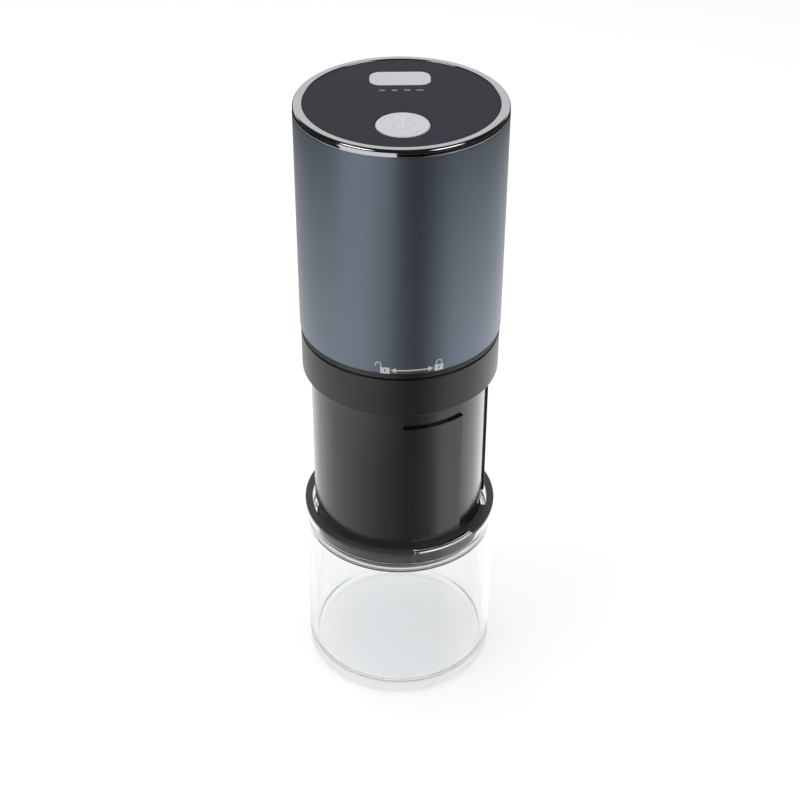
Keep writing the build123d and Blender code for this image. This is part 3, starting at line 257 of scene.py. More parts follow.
# The glowing sheets below show only in reflections: painted reflections of the lit table, and of a
# pale card that lies and stands at the front left.
card_near, card_far, card_left, card_right, card_level = 0.432, 0.75, -66, -6, 0.002
mirrored_sheet("table_gleam", 0.034, 2.5, -180, 180, 0.001, 0.001, painted_reflection)
mirrored_sheet("pale_card", card_near, card_far, card_left, card_right, card_level, card_level,
               pale_card)
mirrored_sheet("pale_card_back", card_far, card_far, card_left, card_right, card_level, 0.5,
               pale_card)

# Clear cup: one moulding in clear plastic with a thick floor and a rounded foot. Its flat rim takes
# the black ring, a shallow groove inside holds the wiper, and a tab with two fine grooves on top
# fills the ring's opening.
mm = 0.001


def outline(*corners):
    """Turn (radius, height) corners in millimetres into points; a third number rounds a corner."""
    parts = 6
    points = []
    for index, corner in enumerate(corners):
        here = Vector(corner[:2])
        size = corner[2] if len(corner) > 2 else 0
        if not size:
            points.append(here * mm)
            continue
        before = (Vector(corners[index - 1][:2]) - here).normalized()
        after = (Vector(corners[(index + 1) % len(corners)][:2]) - here).normalized()
        opening = before.angle(after)
        reach = size / math.tan(opening / 2)
        centre = here + (before + after).normalized() * size / math.sin(opening / 2)
        first, last = here + before * reach - centre, here + after * reach - centre
        for part in range(parts + 1):
            points.append((centre + first.slerp(last, part / parts).normalized() * size) * mm)
    return points


def shaped(name, shape):
    """Turn a shape's faces outwards and make it an object of this name."""
    bmesh.ops.recalc_face_normals(shape, faces=shape.faces)
    mesh = bpy.data.meshes.new(name)
    shape.to_mesh(mesh)
    shape.free()
    made = bpy.data.objects.new(name, mesh)
    studio.objects.link(made)
    return made


def turned(name, spans, every=1.5, middle=(0, 0)):
    """Turn outlines about the axis, with a column of points every so many degrees. Each span gives
    its start, end and outline, in degrees from the front towards the right, and the spans close
    the circle."""
    shape = bmesh.new()
    columns = []
    for start, end, points in spans:
        count = max(1, math.ceil((end - start) / every))
        for index in range(count + 1):
            turn = math.radians(start + (end - start) * index / count)
            columns.append([
                shape.verts.new((
                    middle[0] * mm + radius * math.sin(turn),
                    middle[1] * mm - radius * math.cos(turn),
                    height,
                ))
                for radius, height in points
            ])
    for left, right in zip(columns, columns[1:] + columns[:1]):
        for index in range(len(left)):
            after = (index + 1) % len(left)
            shape.faces.new((left[index], right[index], right[after], left[after]))
    bmesh.ops.remove_doubles(shape, verts=shape.verts, dist=1e-6)
    bmesh.ops.dissolve_degenerate(shape, dist=1e-7, edges=shape.edges)
    return shaped(name, shape)


def sector(inner, outer, start, end, bottom, top):
    """A block that fills part of a ring, in millimetres and degrees from the front."""
    shape = bmesh.new()
    degrees_each = 1.5
    count = max(1, math.ceil((end - start) / degrees_each))
    rows = []
    for index in range(count + 1):
        turn = math.radians(start + (end - start) * index / count)
        rows.append([
            shape.verts.new((
                radius * mm * math.sin(turn), -radius * mm * math.cos(turn), height * mm
            ))
            for radius, height in ((inner, bottom), (outer, bottom), (outer, top), (inner, top))
        ])
    for left, right in zip(rows, rows[1:]):
        for index in range(4):
            after = (index + 1) % 4
            shape.faces.new((left[index], right[index], right[after], left[after]))
    shape.faces.new(rows[0])
    shape.faces.new(reversed(rows[-1]))
    return shaped("block", shape)


def kept(made):
    """Keep what a piece's modifiers make as its plain mesh."""
    ready = made.evaluated_get(bpy.context.evaluated_depsgraph_get())
    mesh = bpy.data.meshes.new_from_object(ready)
    made.modifiers.clear()
    made.data = mesh
    return made


def smoothed(made):
    """Shade a piece smoothly, with sharp edges kept and flat faces flat."""
    sharp_from = math.radians(32)
    made.data.polygons.foreach_set("use_smooth", [True] * len(made.data.polygons))
    made.data.set_sharp_from_angle(angle=sharp_from)
    even = made.modifiers.new("even", "WEIGHTED_NORMAL")
    even.keep_sharp = True
    return kept(made)


def finished(made, soften=0.0, cuts=(), joins=(), keep_within=True):
    """Join, cut and soften a piece, then keep the result as its plain mesh with smooth faces."""
    soften_from, speck_size = math.radians(38), 0.0005 * mm
    for kind, others in (("UNION", joins), ("DIFFERENCE", cuts)):
        for other in others:
            work = made.modifiers.new(kind, "BOOLEAN")
            work.operation = kind
            work.object = other
            work.solver = "EXACT"
    if soften:
        edge = made.modifiers.new("edge", "BEVEL")
        edge.limit_method = "ANGLE"
        edge.angle_limit = soften_from
        edge.width = soften * mm
        edge.segments = 3
        edge.use_clamp_overlap = keep_within
    kept(made)
    shape = bmesh.new()
    shape.from_mesh(made.data)
    bmesh.ops.remove_doubles(shape, verts=shape.verts, dist=speck_size)
    bmesh.ops.dissolve_degenerate(shape, edges=shape.edges, dist=speck_size)
    shape.to_mesh(made.data)
    shape.free()
    for other in [*cuts, *joins]:
        bpy.data.objects.remove(other)
    return smoothed(made)


def settle(piece, body, slot, material, *stands_for):
    """Give a piece its finish and tie it to the body that it moves with."""
    piece.data.materials.clear()
    piece.data.materials.append(material)
    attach(piece, body)
    if stands_for:
        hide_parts(*stands_for)


def finish(name, colour, roughness, grain, relief=0.0, tone=0.1, wear=0.06, stretch=(1, 1, 1),
           **sockets):
    """A procedural finish: fine grain on Object coordinates varies the colour and the roughness
    and raises the surface. Even values go straight to the shader's sockets."""
    material = bpy.data.materials.new(name)
    material.use_nodes = True
    tree = material.node_tree
    shader = tree.nodes["Principled BSDF"]
    place = step(tree, "ShaderNodeTexCoord")
    turn = step(tree, "ShaderNodeMapping", {"Vector": place.outputs["Object"], "Scale": stretch})
    speck = step(tree, "ShaderNodeTexNoise",
                 {"Vector": turn, "Scale": grain, "Detail": 3}).outputs["Fac"]
    shades = step(
        tree, "ShaderNodeMix",
        {"Factor": speck,
         "A": [*(channel * (1 - tone) for channel in colour), 1],
         "B": [*(min(1, channel * (1 + tone)) for channel in colour), 1]},
        data_type="RGBA",
    )
    polish = step(
        tree, "ShaderNodeMapRange",
        {"Value": speck, "To Min": max(0, roughness - wear), "To Max": min(1, roughness + wear)},
    )
    wire(
        tree,
        (shades.outputs["Result"], shader.inputs["Base Color"]),
        (polish, shader.inputs["Roughness"]),
    )
    if relief:
        raised = step(tree, "ShaderNodeBump",
                      {"Height": speck, "Strength": relief, "Distance": 0.05 * mm})
        wire(tree, (raised, shader.inputs["Normal"]))
    for label, value in sockets.items():
        shader.inputs[label.replace("_", " ")].default_value = value
    return material


def shadow_side(material):
    """Let light through a clear material: its shadow is a tint, not a black shape."""
    tree = material.node_tree
    clear = step(tree, "ShaderNodeBsdfTransparent", {"Color": (0.86, 0.87, 0.88, 1)})
    mixed = step(
        tree, "ShaderNodeMixShader",
        {0: light_path_of(tree, "Is Shadow Ray"), 1: tree.nodes["Principled BSDF"], 2: clear},
    )
    wire(tree, (mixed, tree.nodes["Material Output"].inputs["Surface"]))
    return material


def cup_section(outside, top, groove_floor):
    """The cup's outline, either at its rim or at the tab, which is thicker, higher and grooved."""
    bore, seat, foot_round = 30.0, 31.0, 3.0
    return outline(
        (0, 0), (32.3, 0, foot_round), (32.3, 61.3), (outside, 61.3), (outside, top),
        (31.9, top), (31.7, groove_floor), (31.5, top),
        (31.1, top), (30.9, groove_floor), (30.7, top), (bore, top),
        (bore, 59.9), (seat, 59.9), (seat, 56.9), (bore, 56.9), (bore, 3.0, 4.0), (0, 3.0),
    )


clear_plastic = shadow_side(
    finish("clear_plastic", (0.97, 0.98, 0.985), 0.02, grain=60, tone=0.01, wear=0.012,
           IOR=1.49, Transmission_Weight=1.0)
)
rim, tab_start, tab_end = 64.5, 7.4, 47.4
clear_cup = finished(
    turned("clear_cup", (
        (tab_start, tab_end, cup_section(32.6, rim + 1.0, 65.4)),
        (tab_end, tab_start + 360, cup_section(32.3, rim, rim)),
    )),
    soften=0.12,
)
settle(clear_cup, "cup", "clear_cup", clear_plastic, "cup_glass")

# Cap ring: a flat ring in black satin plastic, bonded to the cup's rim. It is open at the clear
# tab, and two lugs inside it run in the tube's channels.
satin_black = finish("satin_black", (0.06, 0.06, 0.063), 0.34, grain=2600, relief=0.12,
                     tone=0.15, Specular_IOR_Level=0.6)
cap_ring = finished(
    turned("cap_ring", ((0, 360, outline(
        (30.0, rim), (32.45, rim), (32.45, rim + 1.0, 0.4), (30.0, rim + 1.0),
    )),)),
    joins=[
        block
        for side in (0, 180)
        for block in (
            sector(29.0, 30.3, 53.0 + side, 76.0 + side, 64.6, 65.1),
            sector(28.3, 29.95, 52.5 + side, 76.5 + side, 62.6, 65.2),
        )
    ],
    cuts=[sector(29.0, 33.5, 7.0, 47.8, 64.0, 67.0)],
)
settle(cap_ring, "cup", "ring_black", satin_black, "cup_ring")

# Wiper: a soft clear silicone ring in the cup's groove. It seals on the tube and its two keys
# fill the upright channels.
silicone = shadow_side(
    finish("silicone", (0.97, 0.975, 0.98), 0.35, grain=400, tone=0.01, wear=0.04, IOR=1.25,
           Transmission_Weight=1.0)
)


def dress(material, *names):
    """Give CAD pieces whose shape is right their finish."""
    for name in names:
        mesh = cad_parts[name].data
        mesh.materials.clear()
        mesh.materials.append(material)


dress(silicone, "wiper_ring")

# Hopper tube: moulded in glossy black plastic, it slides in the cup and holds the beans. Two
# upright channels end in level slots, in which the ring's lugs lock. Its foot is stepped in and
# left matt.
gloss_black = finish("gloss_black", (0.006, 0.006, 0.0065), 0.22, grain=1800, relief=0.04,
                     tone=0.2, wear=0.04, Specular_IOR_Level=0.95)
foot_top = 67.4
gloss = gloss_black.node_tree
gloss_roughness = gloss.nodes["Principled BSDF"].inputs["Roughness"]
spot_on_tube = gloss.nodes["Texture Coordinate"].outputs["Object"]
heights = step(gloss, "ShaderNodeSeparateXYZ", {0: spot_on_tube})
matt_foot = step(
    gloss, "ShaderNodeMapRange",
    {"Value": heights.outputs["Z"], "From Min": (foot_top - 0.1) * mm,
     "From Max": (foot_top + 0.1) * mm, "To Min": 0.95, "To Max": 0.0},
)
rougher = step(gloss, "ShaderNodeMath", {0: matt_foot, 1: gloss_roughness.links[0].from_socket},
               operation="MAXIMUM")
wire(gloss, (rougher, gloss_roughness))
bore, hollow, outside = 26.0, 28.0, 29.0
hopper = finished(
    turned("hopper", ((1.2, 361.2, outline(
        (bore, 57.0), (28.6, 57.0), (28.6, 58.5), (hollow, 58.5), (hollow, foot_top),
        (outside, foot_top, 0.6), (outside, 126.0), (bore, 126.0), (bore, 83.1), (21.0, 83.1),
        (21.0, 80.1), (bore, 80.1),
    )),), every=2),
    soften=0.2,
    keep_within=False,
    cuts=[
        block
        for side in (0, 180)
        for block in (
            sector(hollow, 31.0, 42.7 + side, 86.7 + side, 55.0, 121.1),
            sector(hollow, 31.0, 0.4 + side, 43.7 + side, 114.4, 117.9),
        )
    ],
)
settle(hopper, "tube", "tube_black", gloss_black, "hopper_tube")

# Collar: a ring moulded in satin black plastic, a press fit on the top of the tube. A ledge inside
# takes the motor housing's bayonet lugs through three entries, and a groove on top holds the
# gasket.
collar_black = finish("collar_black", (0.009, 0.009, 0.010), 0.36, grain=3000, relief=0.22,
                      tone=0.2, Specular_IOR_Level=0.7)
collar_low, collar_high, mouth, half_entry = 121.1, 135.3, 29.3, 15
collar_spans = []
for entry in (0, 120, 240):
    for start, end, ledge in (
        (entry - half_entry, entry + half_entry, mouth),
        (entry + half_entry, entry + 120 - half_entry, 28.0),
    ):
        collar_spans.append((start, end, outline(
            (29.05, collar_low), (31.7, collar_low, 0.8), (31.7, collar_high, 0.4),
            (30.9, collar_high), (30.9, 134.1), (29.9, 134.1), (29.9, collar_high),
            (mouth, collar_high), (mouth, 134.0), (ledge, 134.0), (ledge, 131.5),
            (mouth, 131.5), (mouth, 126.0), (29.05, 126.0),
        )))
collar = finished(turned("collar", collar_spans))
settle(collar, "tube", "collar_black", collar_black, "tube_collar")

# Gasket: a thin black silicone ring, moulded flat and pressed into the collar's top groove. The
# motor housing turns on it.
soft_black = finish("soft_black", (0.014, 0.014, 0.014), 0.6, grain=1500, relief=0.1, tone=0.15)
dress(soft_black, "collar_gasket")

# Base plate: the motor housing's floor, moulded in satin black plastic and screwed to the chassis
# from below. Its edge shows as a band under the sleeve, with three fine raised lines round it.
dress(collar_black, "base_plate")


def new_tree(name, **inputs):
    """A Geometry Nodes tree with named inputs, each a socket kind and its first value."""
    tree = bpy.data.node_groups.new(name, "GeometryNodeTree")
    tree.interface.new_socket("Geometry", in_out="OUTPUT", socket_type="NodeSocketGeometry")
    for label, (kind, value) in inputs.items():
        socket = tree.interface.new_socket(
            label.replace("_", " "), in_out="INPUT", socket_type="NodeSocket" + kind
        )
        if value is not None:
            socket.default_value = value
    return tree, step(tree, "NodeGroupInput").outputs


def put_out(tree, geometry, given):
    """End a tree with plain geometry in its material."""
    plain = step(tree, "GeometryNodeRealizeInstances", {"Geometry": geometry})
    dressed = step(tree, "GeometryNodeSetMaterial",
                   {"Geometry": plain, "Material": given["Material"]})
    step(tree, "NodeGroupOutput", {0: dressed})


def point(tree, x=0.0, y=0.0, z=0.0):
    """A vector from three values or sockets."""
    return step(tree, "ShaderNodeCombineXYZ", {"X": x, "Y": y, "Z": z})


def sum_of(tree, kind, first, second):
    """One sum of two values or sockets."""
    return step(tree, "ShaderNodeMath", {0: first, 1: second}, operation=kind)


def grown(name, tree, **values):
    """Run a tree with these inputs and keep the result as a plain mesh with smooth faces."""
    made = bpy.data.objects.new(name, bpy.data.meshes.new(name))
    studio.objects.link(made)
    runner = made.modifiers.new("grow", "NODES")
    runner.node_group = tree
    for socket in tree.interface.items_tree:
        label = socket.name.replace(" ", "_")
        if socket.in_out == "INPUT" and label in values:
            runner[socket.identifier] = values[label]
    kept(made)
    shape = bmesh.new()
    shape.from_mesh(made.data)
    bmesh.ops.remove_doubles(shape, verts=shape.verts, dist=1e-6)
    bmesh.ops.recalc_face_normals(shape, faces=shape.faces)
    shape.to_mesh(made.data)
    shape.free()
    return smoothed(made)


grip_tree, given = new_tree(
    "grip_lines",
    Count=("Int", 4), Radius=("Float", 0.03), Thickness=("Float", 0.0001), Level=("Float", 0.1),
    Spacing=("Float", 0.0004), Segments=("Int", 192), Material=("Material", None),
)
levels = step(
    grip_tree, "GeometryNodeMeshLine",
    {"Count": given["Count"], "Start Location": point(grip_tree, z=given["Level"]),
     "Offset": point(grip_tree, z=given["Spacing"])},
    mode="OFFSET",
)
hoop = step(grip_tree, "GeometryNodeCurvePrimitiveCircle",
            {"Resolution": given["Segments"], "Radius": given["Radius"]})
thread = step(grip_tree, "GeometryNodeCurvePrimitiveCircle",
              {"Resolution": 8, "Radius": given["Thickness"]})
line = step(grip_tree, "GeometryNodeCurveToMesh", {"Curve": hoop, "Profile Curve": thread})
lines = step(grip_tree, "GeometryNodeInstanceOnPoints", {"Points": levels, "Instance": line})
put_out(grip_tree, lines, given)
band_lines = grown("band_lines", grip_tree, Count=3, Radius=31.6 * mm, Thickness=0.17 * mm,
                   Level=136.25 * mm, Spacing=0.6 * mm, Material=gloss_black)
settle(band_lines, "housing", "collar_black", gloss_black)

# Outer sleeve: a drawn metal tube in satin blue-grey metallic paint, with a rounded slot at the
# back for the charging plug. It slides over the chassis and the trim ring holds it.
sleeve_paint = finish("sleeve_paint", (0.20, 0.235, 0.285), 0.33, grain=5200, relief=0.04,
                      tone=0.12, wear=0.05, Metallic=0.9)
sleeve_tree, given = new_tree(
    "sleeve",
    Radius=("Float", 0.032), Wall=("Float", 0.0018), Bottom=("Float", 0.1), Top=("Float", 0.2),
    Edge_Round=("Float", 0.0003), Port_Length=("Float", 0.01), Port_Width=("Float", 0.004),
    Port_Level=("Float", 0.2), Segments=("Int", 256), Material=("Material", None),
)
half_wall = sum_of(sleeve_tree, "MULTIPLY", given["Wall"], 0.5)
path = step(sleeve_tree, "GeometryNodeCurvePrimitiveCircle",
            {"Resolution": given["Segments"],
             "Radius": sum_of(sleeve_tree, "SUBTRACT", given["Radius"], half_wall)})
section = step(sleeve_tree, "GeometryNodeCurvePrimitiveQuadrilateral",
               {"Width": given["Wall"],
                "Height": sum_of(sleeve_tree, "SUBTRACT", given["Top"], given["Bottom"])})
soft_section = step(sleeve_tree, "GeometryNodeFilletCurve",
                    {"Curve": section, "Count": 4, "Radius": given["Edge Round"]}, mode="POLY")
wall = step(sleeve_tree, "GeometryNodeCurveToMesh", {"Curve": path, "Profile Curve": soft_section})
both_ends = sum_of(sleeve_tree, "ADD", given["Top"], given["Bottom"])
middle = sum_of(sleeve_tree, "MULTIPLY", both_ends, 0.5)
raised_wall = step(sleeve_tree, "GeometryNodeTransform",
                   {"Geometry": wall, "Translation": point(sleeve_tree, z=middle)})
port_line = step(sleeve_tree, "GeometryNodeCurvePrimitiveLine",
                 {"Start": point(sleeve_tree, y=0.025, z=given["Port Level"]),
                  "End": point(sleeve_tree, y=0.035, z=given["Port Level"])})
port_section = step(sleeve_tree, "GeometryNodeCurvePrimitiveQuadrilateral",
                    {"Width": given["Port Length"], "Height": given["Port Width"]})
port_round = step(sleeve_tree, "GeometryNodeFilletCurve",
                  {"Curve": port_section, "Count": 10,
                   "Radius": sum_of(sleeve_tree, "MULTIPLY", given["Port Width"], 0.499)},
                  mode="POLY")
port = step(sleeve_tree, "GeometryNodeCurveToMesh",
            {"Curve": port_line, "Profile Curve": port_round, "Fill Caps": True})
opened = step(sleeve_tree, "GeometryNodeMeshBoolean", {"Mesh 1": raised_wall, "Mesh 2": port},
              operation="DIFFERENCE", solver="EXACT")
put_out(sleeve_tree, opened, given)
port_level = (sum(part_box("charge_socket"), Vector()) / 2).z
sleeve_low, sleeve_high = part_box("outer_sleeve")
sleeve = grown("sleeve", sleeve_tree, Radius=sleeve_high.x, Bottom=sleeve_low.z, Top=sleeve_high.z,
               Port_Length=10 * mm, Port_Width=4.3 * mm, Port_Level=port_level,
               Material=sleeve_paint)
settle(sleeve, "housing", "sleeve_paint", sleeve_paint, "outer_sleeve")

# Lock signs: printed in pale grey ink at the sleeve's lower edge. An open padlock, an arrow with
# two heads and a closed padlock show which way the motor housing turns to unlock.
pale_ink = finish("pale_ink", (0.72, 0.73, 0.75), 0.45, grain=3000, tone=0.04)


def printed(name, angle, level, quads, material):
    """Print quads on the sleeve: points in millimetres along the surface and up, from a place
    given by its angle from the front and its height."""
    sleeve_radius, ink_radius, ink_depth, longest_part = 32.0, 32.02 * mm, 0.03 * mm, 0.5
    shape = bmesh.new()
    for quad in quads:
        corners = [Vector(corner) for corner in quad]
        length = max((corners[1] - corners[0]).length, (corners[2] - corners[3]).length)
        parts = max(1, math.ceil(length / longest_part))
        columns = []
        for part in range(parts + 1):
            columns.append([])
            for start, end in ((corners[0], corners[1]), (corners[3], corners[2])):
                along, up = start.lerp(end, part / parts)
                turn = math.radians(angle) + along / sleeve_radius
                columns[-1].append(shape.verts.new((
                    ink_radius * math.sin(turn), -ink_radius * math.cos(turn), (level + up) * mm
                )))
        for left, right in zip(columns, columns[1:]):
            shape.faces.new((left[0], right[0], right[1], left[1]))
    bmesh.ops.remove_doubles(shape, verts=shape.verts, dist=1e-6)
    bmesh.ops.solidify(shape, geom=list(shape.faces), thickness=-ink_depth)
    settle(shaped(name, shape), "housing", "button_white", material)


def arch(across, foot, outer, inner):
    """Quads of half a ring that stands on (across, foot)."""
    parts = 12
    quads = []
    for part in range(parts):
        first, last = (math.radians(180 * edge / parts) for edge in (part, part + 1))
        quads.append([
            (across + reach * math.cos(turn), foot + reach * math.sin(turn))
            for reach, turn in ((outer, first), (outer, last), (inner, last), (inner, first))
        ])
    return quads


def padlock(open_bow):
    """Quads of a padlock with a keyhole, its bow closed or swung open to the left."""
    half, hole, low, high, top = 1.45, 0.25, 0.8, 1.5, 2.2
    body = [
        [(left, bottom), (right, bottom), (right, roof), (left, roof)]
        for left, right, bottom, roof in (
            (-half, half, 0.0, low), (-half, -hole, low, high), (hole, half, low, high),
            (-half, half, high, top),
        )
    ]
    side = -2.05 if open_bow else 0
    bow, thick, bow_foot = 1.0, 0.32, 3.1
    legs = [
        [(side + x, foot), (side + x + thick, foot), (side + x + thick, bow_foot),
         (side + x, bow_foot)]
        for x, foot in ((bow - thick, top), (-bow, 2.6 if open_bow else top))
    ]
    return body + legs + arch(side, bow_foot, bow, bow - thick)


sign_level = 137.95
printed("lock_open_sign", -9.9, sign_level, padlock(True), pale_ink)
printed("lock_closed_sign", 20.0, sign_level, padlock(False), pale_ink)
neck, tip = 5.0, 6.5
arrow = [[(-neck, -0.2), (neck, -0.2), (neck, 0.2), (-neck, 0.2)]]
for way in (-1, 1):
    head = [(way * neck, -0.95), (way * tip, -0.02), (way * tip, 0.02), (way * neck, 0.95)]
    arrow.append(head[::way])
printed("turn_arrow", 5.0, 139.2, arrow, pale_ink)

# Trim ring: turned metal with a chrome finish. It closes the sleeve's top, and its ledge holds
# the panel.
chrome = finish("chrome", (0.74, 0.75, 0.77), 0.07, grain=700, tone=0.02, wear=0.03, Metallic=1.0)
trim = finished(
    turned("trim", ((0, 360, outline(
        (29.1, 212.9, 0.4), (31.95, 212.9, 1.2), (31.95, 210.8), (30.1, 210.8), (30.1, 207.8),
        (27.5, 207.8), (27.5, 211.1), (29.1, 211.1),
    )),)),
    soften=0.08,
)
settle(trim, "housing", "trim_chrome", chrome, "trim_ring")

# Top panel: a charcoal plastic disc with a fine moulded grain, set just below the ring. It has a
# round hole for the button and a long one for the battery window.
panel_grain = finish("panel_grain", (0.014, 0.014, 0.029), 0.46, grain=2300, relief=0.3,
                     tone=0.25, Specular_IOR_Level=0.3)


def plate(name, length, width, corner, bottom, top, middle):
    """An upright block with round corners, in millimetres. Middle is its place from the axis
    towards the back."""
    corner_parts = 12
    shape = bmesh.new()
    around = []
    for quarter, (side, end) in enumerate(((1, 1), (-1, 1), (-1, -1), (1, -1))):
        for part in range(corner_parts + 1):
            turn = math.radians(90 * quarter + 90 / corner_parts * part)
            around.append((
                side * (length / 2 - corner) + corner * math.cos(turn),
                middle + end * (width / 2 - corner) + corner * math.sin(turn),
            ))
    lower, upper = (
        [shape.verts.new((x * mm, y * mm, level * mm)) for x, y in around]
        for level in (bottom, top)
    )
    shape.faces.new(lower)
    shape.faces.new(upper)
    for index in range(len(around)):
        after = (index + 1) % len(around)
        shape.faces.new((lower[index], lower[after], upper[after], upper[index]))
    return shaped(name, shape)


panel_face, hole_low, hole_high = 212.7, 210, 214
window_middle, button_middle = 15.7, -15.2
panel = finished(
    turned("panel", ((0, 360, outline(
        (0, 211.1), (29.0, 211.1), (29.0, panel_face), (0, panel_face),
    )),)),
    soften=0.1,
    cuts=[
        turned("hole", ((0, 360, outline(
            (0, hole_low), (8.1, hole_low), (8.1, hole_high), (0, hole_high),
        )),), every=3, middle=(0, button_middle)),
        plate("slot", 18.6, 9.6, 3.45, hole_low, hole_high, window_middle),
    ],
)
settle(panel, "housing", "panel_charcoal", panel_grain, "top_panel")

# Battery window: a light guide moulded in pale satin plastic, which shows the lamps below it. Its
# flange is glued under the panel.
pale_guide = finish("pale_guide", (0.60, 0.61, 0.635), 0.3, grain=900, tone=0.03,
                    Subsurface_Weight=0.15, Subsurface_Scale=1.0 * mm, Specular_IOR_Level=0.5)
window = finished(
    plate("window", 18.5, 9.5, 3.4, 209.5, panel_face, window_middle),
    soften=0.3,
    joins=[plate("flange", 20.5, 11.5, 4.4, 210.0, 211.0, window_middle)],
)
settle(window, "housing", "window_white", pale_guide, "battery_window")

# Charge marks: four small numbers between the window and the button, one for each lamp. They are
# printed on the panel in pale ink.
letter_height, letter_depth = 1.05 * mm, 0.008 * mm
first_mark, mark_spacing, mark_line, mark_level = -5.5, 3.67, 7.05, panel_face + 0.015
for index, words in enumerate(("25%", "50%", "75%", "100%")):
    text = bpy.data.curves.new("mark", "FONT")
    text.body = words
    text.size = letter_height
    text.align_x = "CENTER"
    text.extrude = letter_depth
    holder = bpy.data.objects.new("mark", text)
    studio.objects.link(holder)
    mesh = bpy.data.meshes.new_from_object(
        holder.evaluated_get(bpy.context.evaluated_depsgraph_get())
    )
    bpy.data.objects.remove(holder)
    mark_across = first_mark + mark_spacing * index
    mesh.transform(Matrix.Translation((mark_across * mm, mark_line * mm, mark_level * mm)))
    mark = bpy.data.objects.new(f"charge_mark_{index + 1}", mesh)
    studio.objects.link(mark)
    settle(mark, "housing", "button_white", pale_ink)

# Power button: a cap moulded in pale satin plastic that stands just proud of the panel, with a
# fine ring groove and a raised power sign. Its flange keeps it under the panel and its stem
# presses the switch.
button_cap = finish("button_cap", (0.63, 0.64, 0.68), 0.3, grain=900, tone=0.03,
                    Subsurface_Weight=0.1, Subsurface_Scale=1.0 * mm, Specular_IOR_Level=0.5)
button_top, groove = 212.86, 212.78
button = finished(
    turned("button", ((0, 360, outline(
        (0, 207.5), (2.4, 207.5), (2.4, 209.8), (9.4, 209.8), (9.4, 210.8), (7.9, 210.8),
        (7.9, button_top, 0.5), (6.45, button_top), (6.4, groove), (6.2, groove),
        (6.15, button_top), (0, button_top),
    )),), every=3, middle=(0, button_middle)),
    soften=0.04,
)
settle(button, "button", "button_white", button_cap, "power_button")
sign_grey = finish("sign_grey", (0.56, 0.57, 0.59), 0.35, grain=1500, tone=0.03)
sign_white = finish("sign_white", (0.75, 0.76, 0.79), 0.35, grain=1500, tone=0.03)
sign_low, sign_high = button_top - 0.02, button_top + 0.02
power_sign = finished(
    turned("power_sign", ((0, 360, outline(
        (2.9, sign_low), (3.2, sign_low), (3.2, sign_high), (2.9, sign_high),
    )),), every=3, middle=(0, button_middle)),
    cuts=[plate("gap", 1.8, 1.8, 0.2, 212, 214, button_middle + 3.0)],
)
settle(power_sign, "button", "button_white", sign_grey)
power_bar = finished(plate("power_bar", 0.4, 5.6, 0.15, sign_low, sign_high, button_middle + 1.9))
settle(power_bar, "button", "button_white", sign_white)

# Charging socket: a nickel-plated shell on the board, behind the slot in the sleeve. Its black
# tongue carries a row of contacts above and below.
nickel = finish("nickel", (0.62, 0.61, 0.58), 0.22, grain=900, tone=0.05, Metallic=1.0)
gilt = finish("gilt", (0.80, 0.60, 0.28), 0.25, grain=900, tone=0.06, Metallic=1.0)
dress(nickel, "charge_socket")
contact_tree, given = new_tree(
    "contact_rows",
    Count=("Int", 12), Spacing=("Float", 0.0005), Length=("Float", 0.0035), Width=("Float", 0.0003),
    Thickness=("Float", 0.00008), Rise=("Float", 0.0004), Mouth=("Float", 0.029),
    Level=("Float", 0.2), Material=("Material", None),
)
half_row = sum_of(
    contact_tree, "MULTIPLY",
    sum_of(contact_tree, "MULTIPLY", given["Spacing"], -0.5),
    sum_of(contact_tree, "SUBTRACT", given["Count"], 1.0),
)
strip = step(contact_tree, "GeometryNodeMeshCube",
             {"Size": point(contact_tree, given["Width"], given["Length"], given["Thickness"])})
rows = []
for way in (1.0, -1.0):
    row_level = sum_of(contact_tree, "ADD", given["Level"],
                       sum_of(contact_tree, "MULTIPLY", given["Rise"], way))
    row_points = step(
        contact_tree, "GeometryNodeMeshLine",
        {"Count": given["Count"],
         "Start Location": point(contact_tree, half_row, given["Mouth"], row_level),
         "Offset": point(contact_tree, given["Spacing"])},
        mode="OFFSET",
    )
    rows.append(step(contact_tree, "GeometryNodeInstanceOnPoints",
                     {"Points": row_points, "Instance": strip}))
both_rows = step(contact_tree, "GeometryNodeJoinGeometry")
for row in rows:
    wire(contact_tree, (row, both_rows.inputs[0]))
put_out(contact_tree, both_rows, given)
contacts = grown("socket_contacts", contact_tree, Count=12, Spacing=0.5 * mm, Length=3.6 * mm,
                 Width=0.28 * mm, Rise=0.37 * mm, Mouth=27.4 * mm, Level=port_level, Material=gilt)
settle(contacts, "housing", "contact_brass", gilt)

# Screws: zinc-plated socket screws from below hold the burr holder, the base plate and the
# gearbox, and from above the circuit board. Each group stands on a circle.
zinc = finish("zinc", (0.50, 0.50, 0.52), 0.32, grain=1200, tone=0.08, wear=0.1, Metallic=1.0)
screw_tree, given = new_tree(
    "screw_circle",
    Count=("Int", 3), Circle=("Float", 0.02), First_Angle=("Float", 0.0), Face=("Float", 0.1),
    Head=("Float", 0.002), Head_Height=("Float", 0.002), Shank=("Float", 0.001),
    Length=("Float", 0.01), Turn_Over=("Float", 0.0), Material=("Material", None),
)
spots = step(screw_tree, "GeometryNodeMeshCircle",
             {"Vertices": given["Count"], "Radius": given["Circle"]})
placed = step(
    screw_tree, "GeometryNodeTransform",
    {"Geometry": spots, "Translation": point(screw_tree, z=given["Face"]),
     "Rotation": point(screw_tree, z=given["First Angle"])},
)
half_head = sum_of(screw_tree, "MULTIPLY", given["Head Height"], 0.5)
half_shank = sum_of(screw_tree, "MULTIPLY", given["Length"], 0.5)
head = step(screw_tree, "GeometryNodeMeshCylinder",
            {"Vertices": 32, "Radius": given["Head"], "Depth": given["Head Height"]})
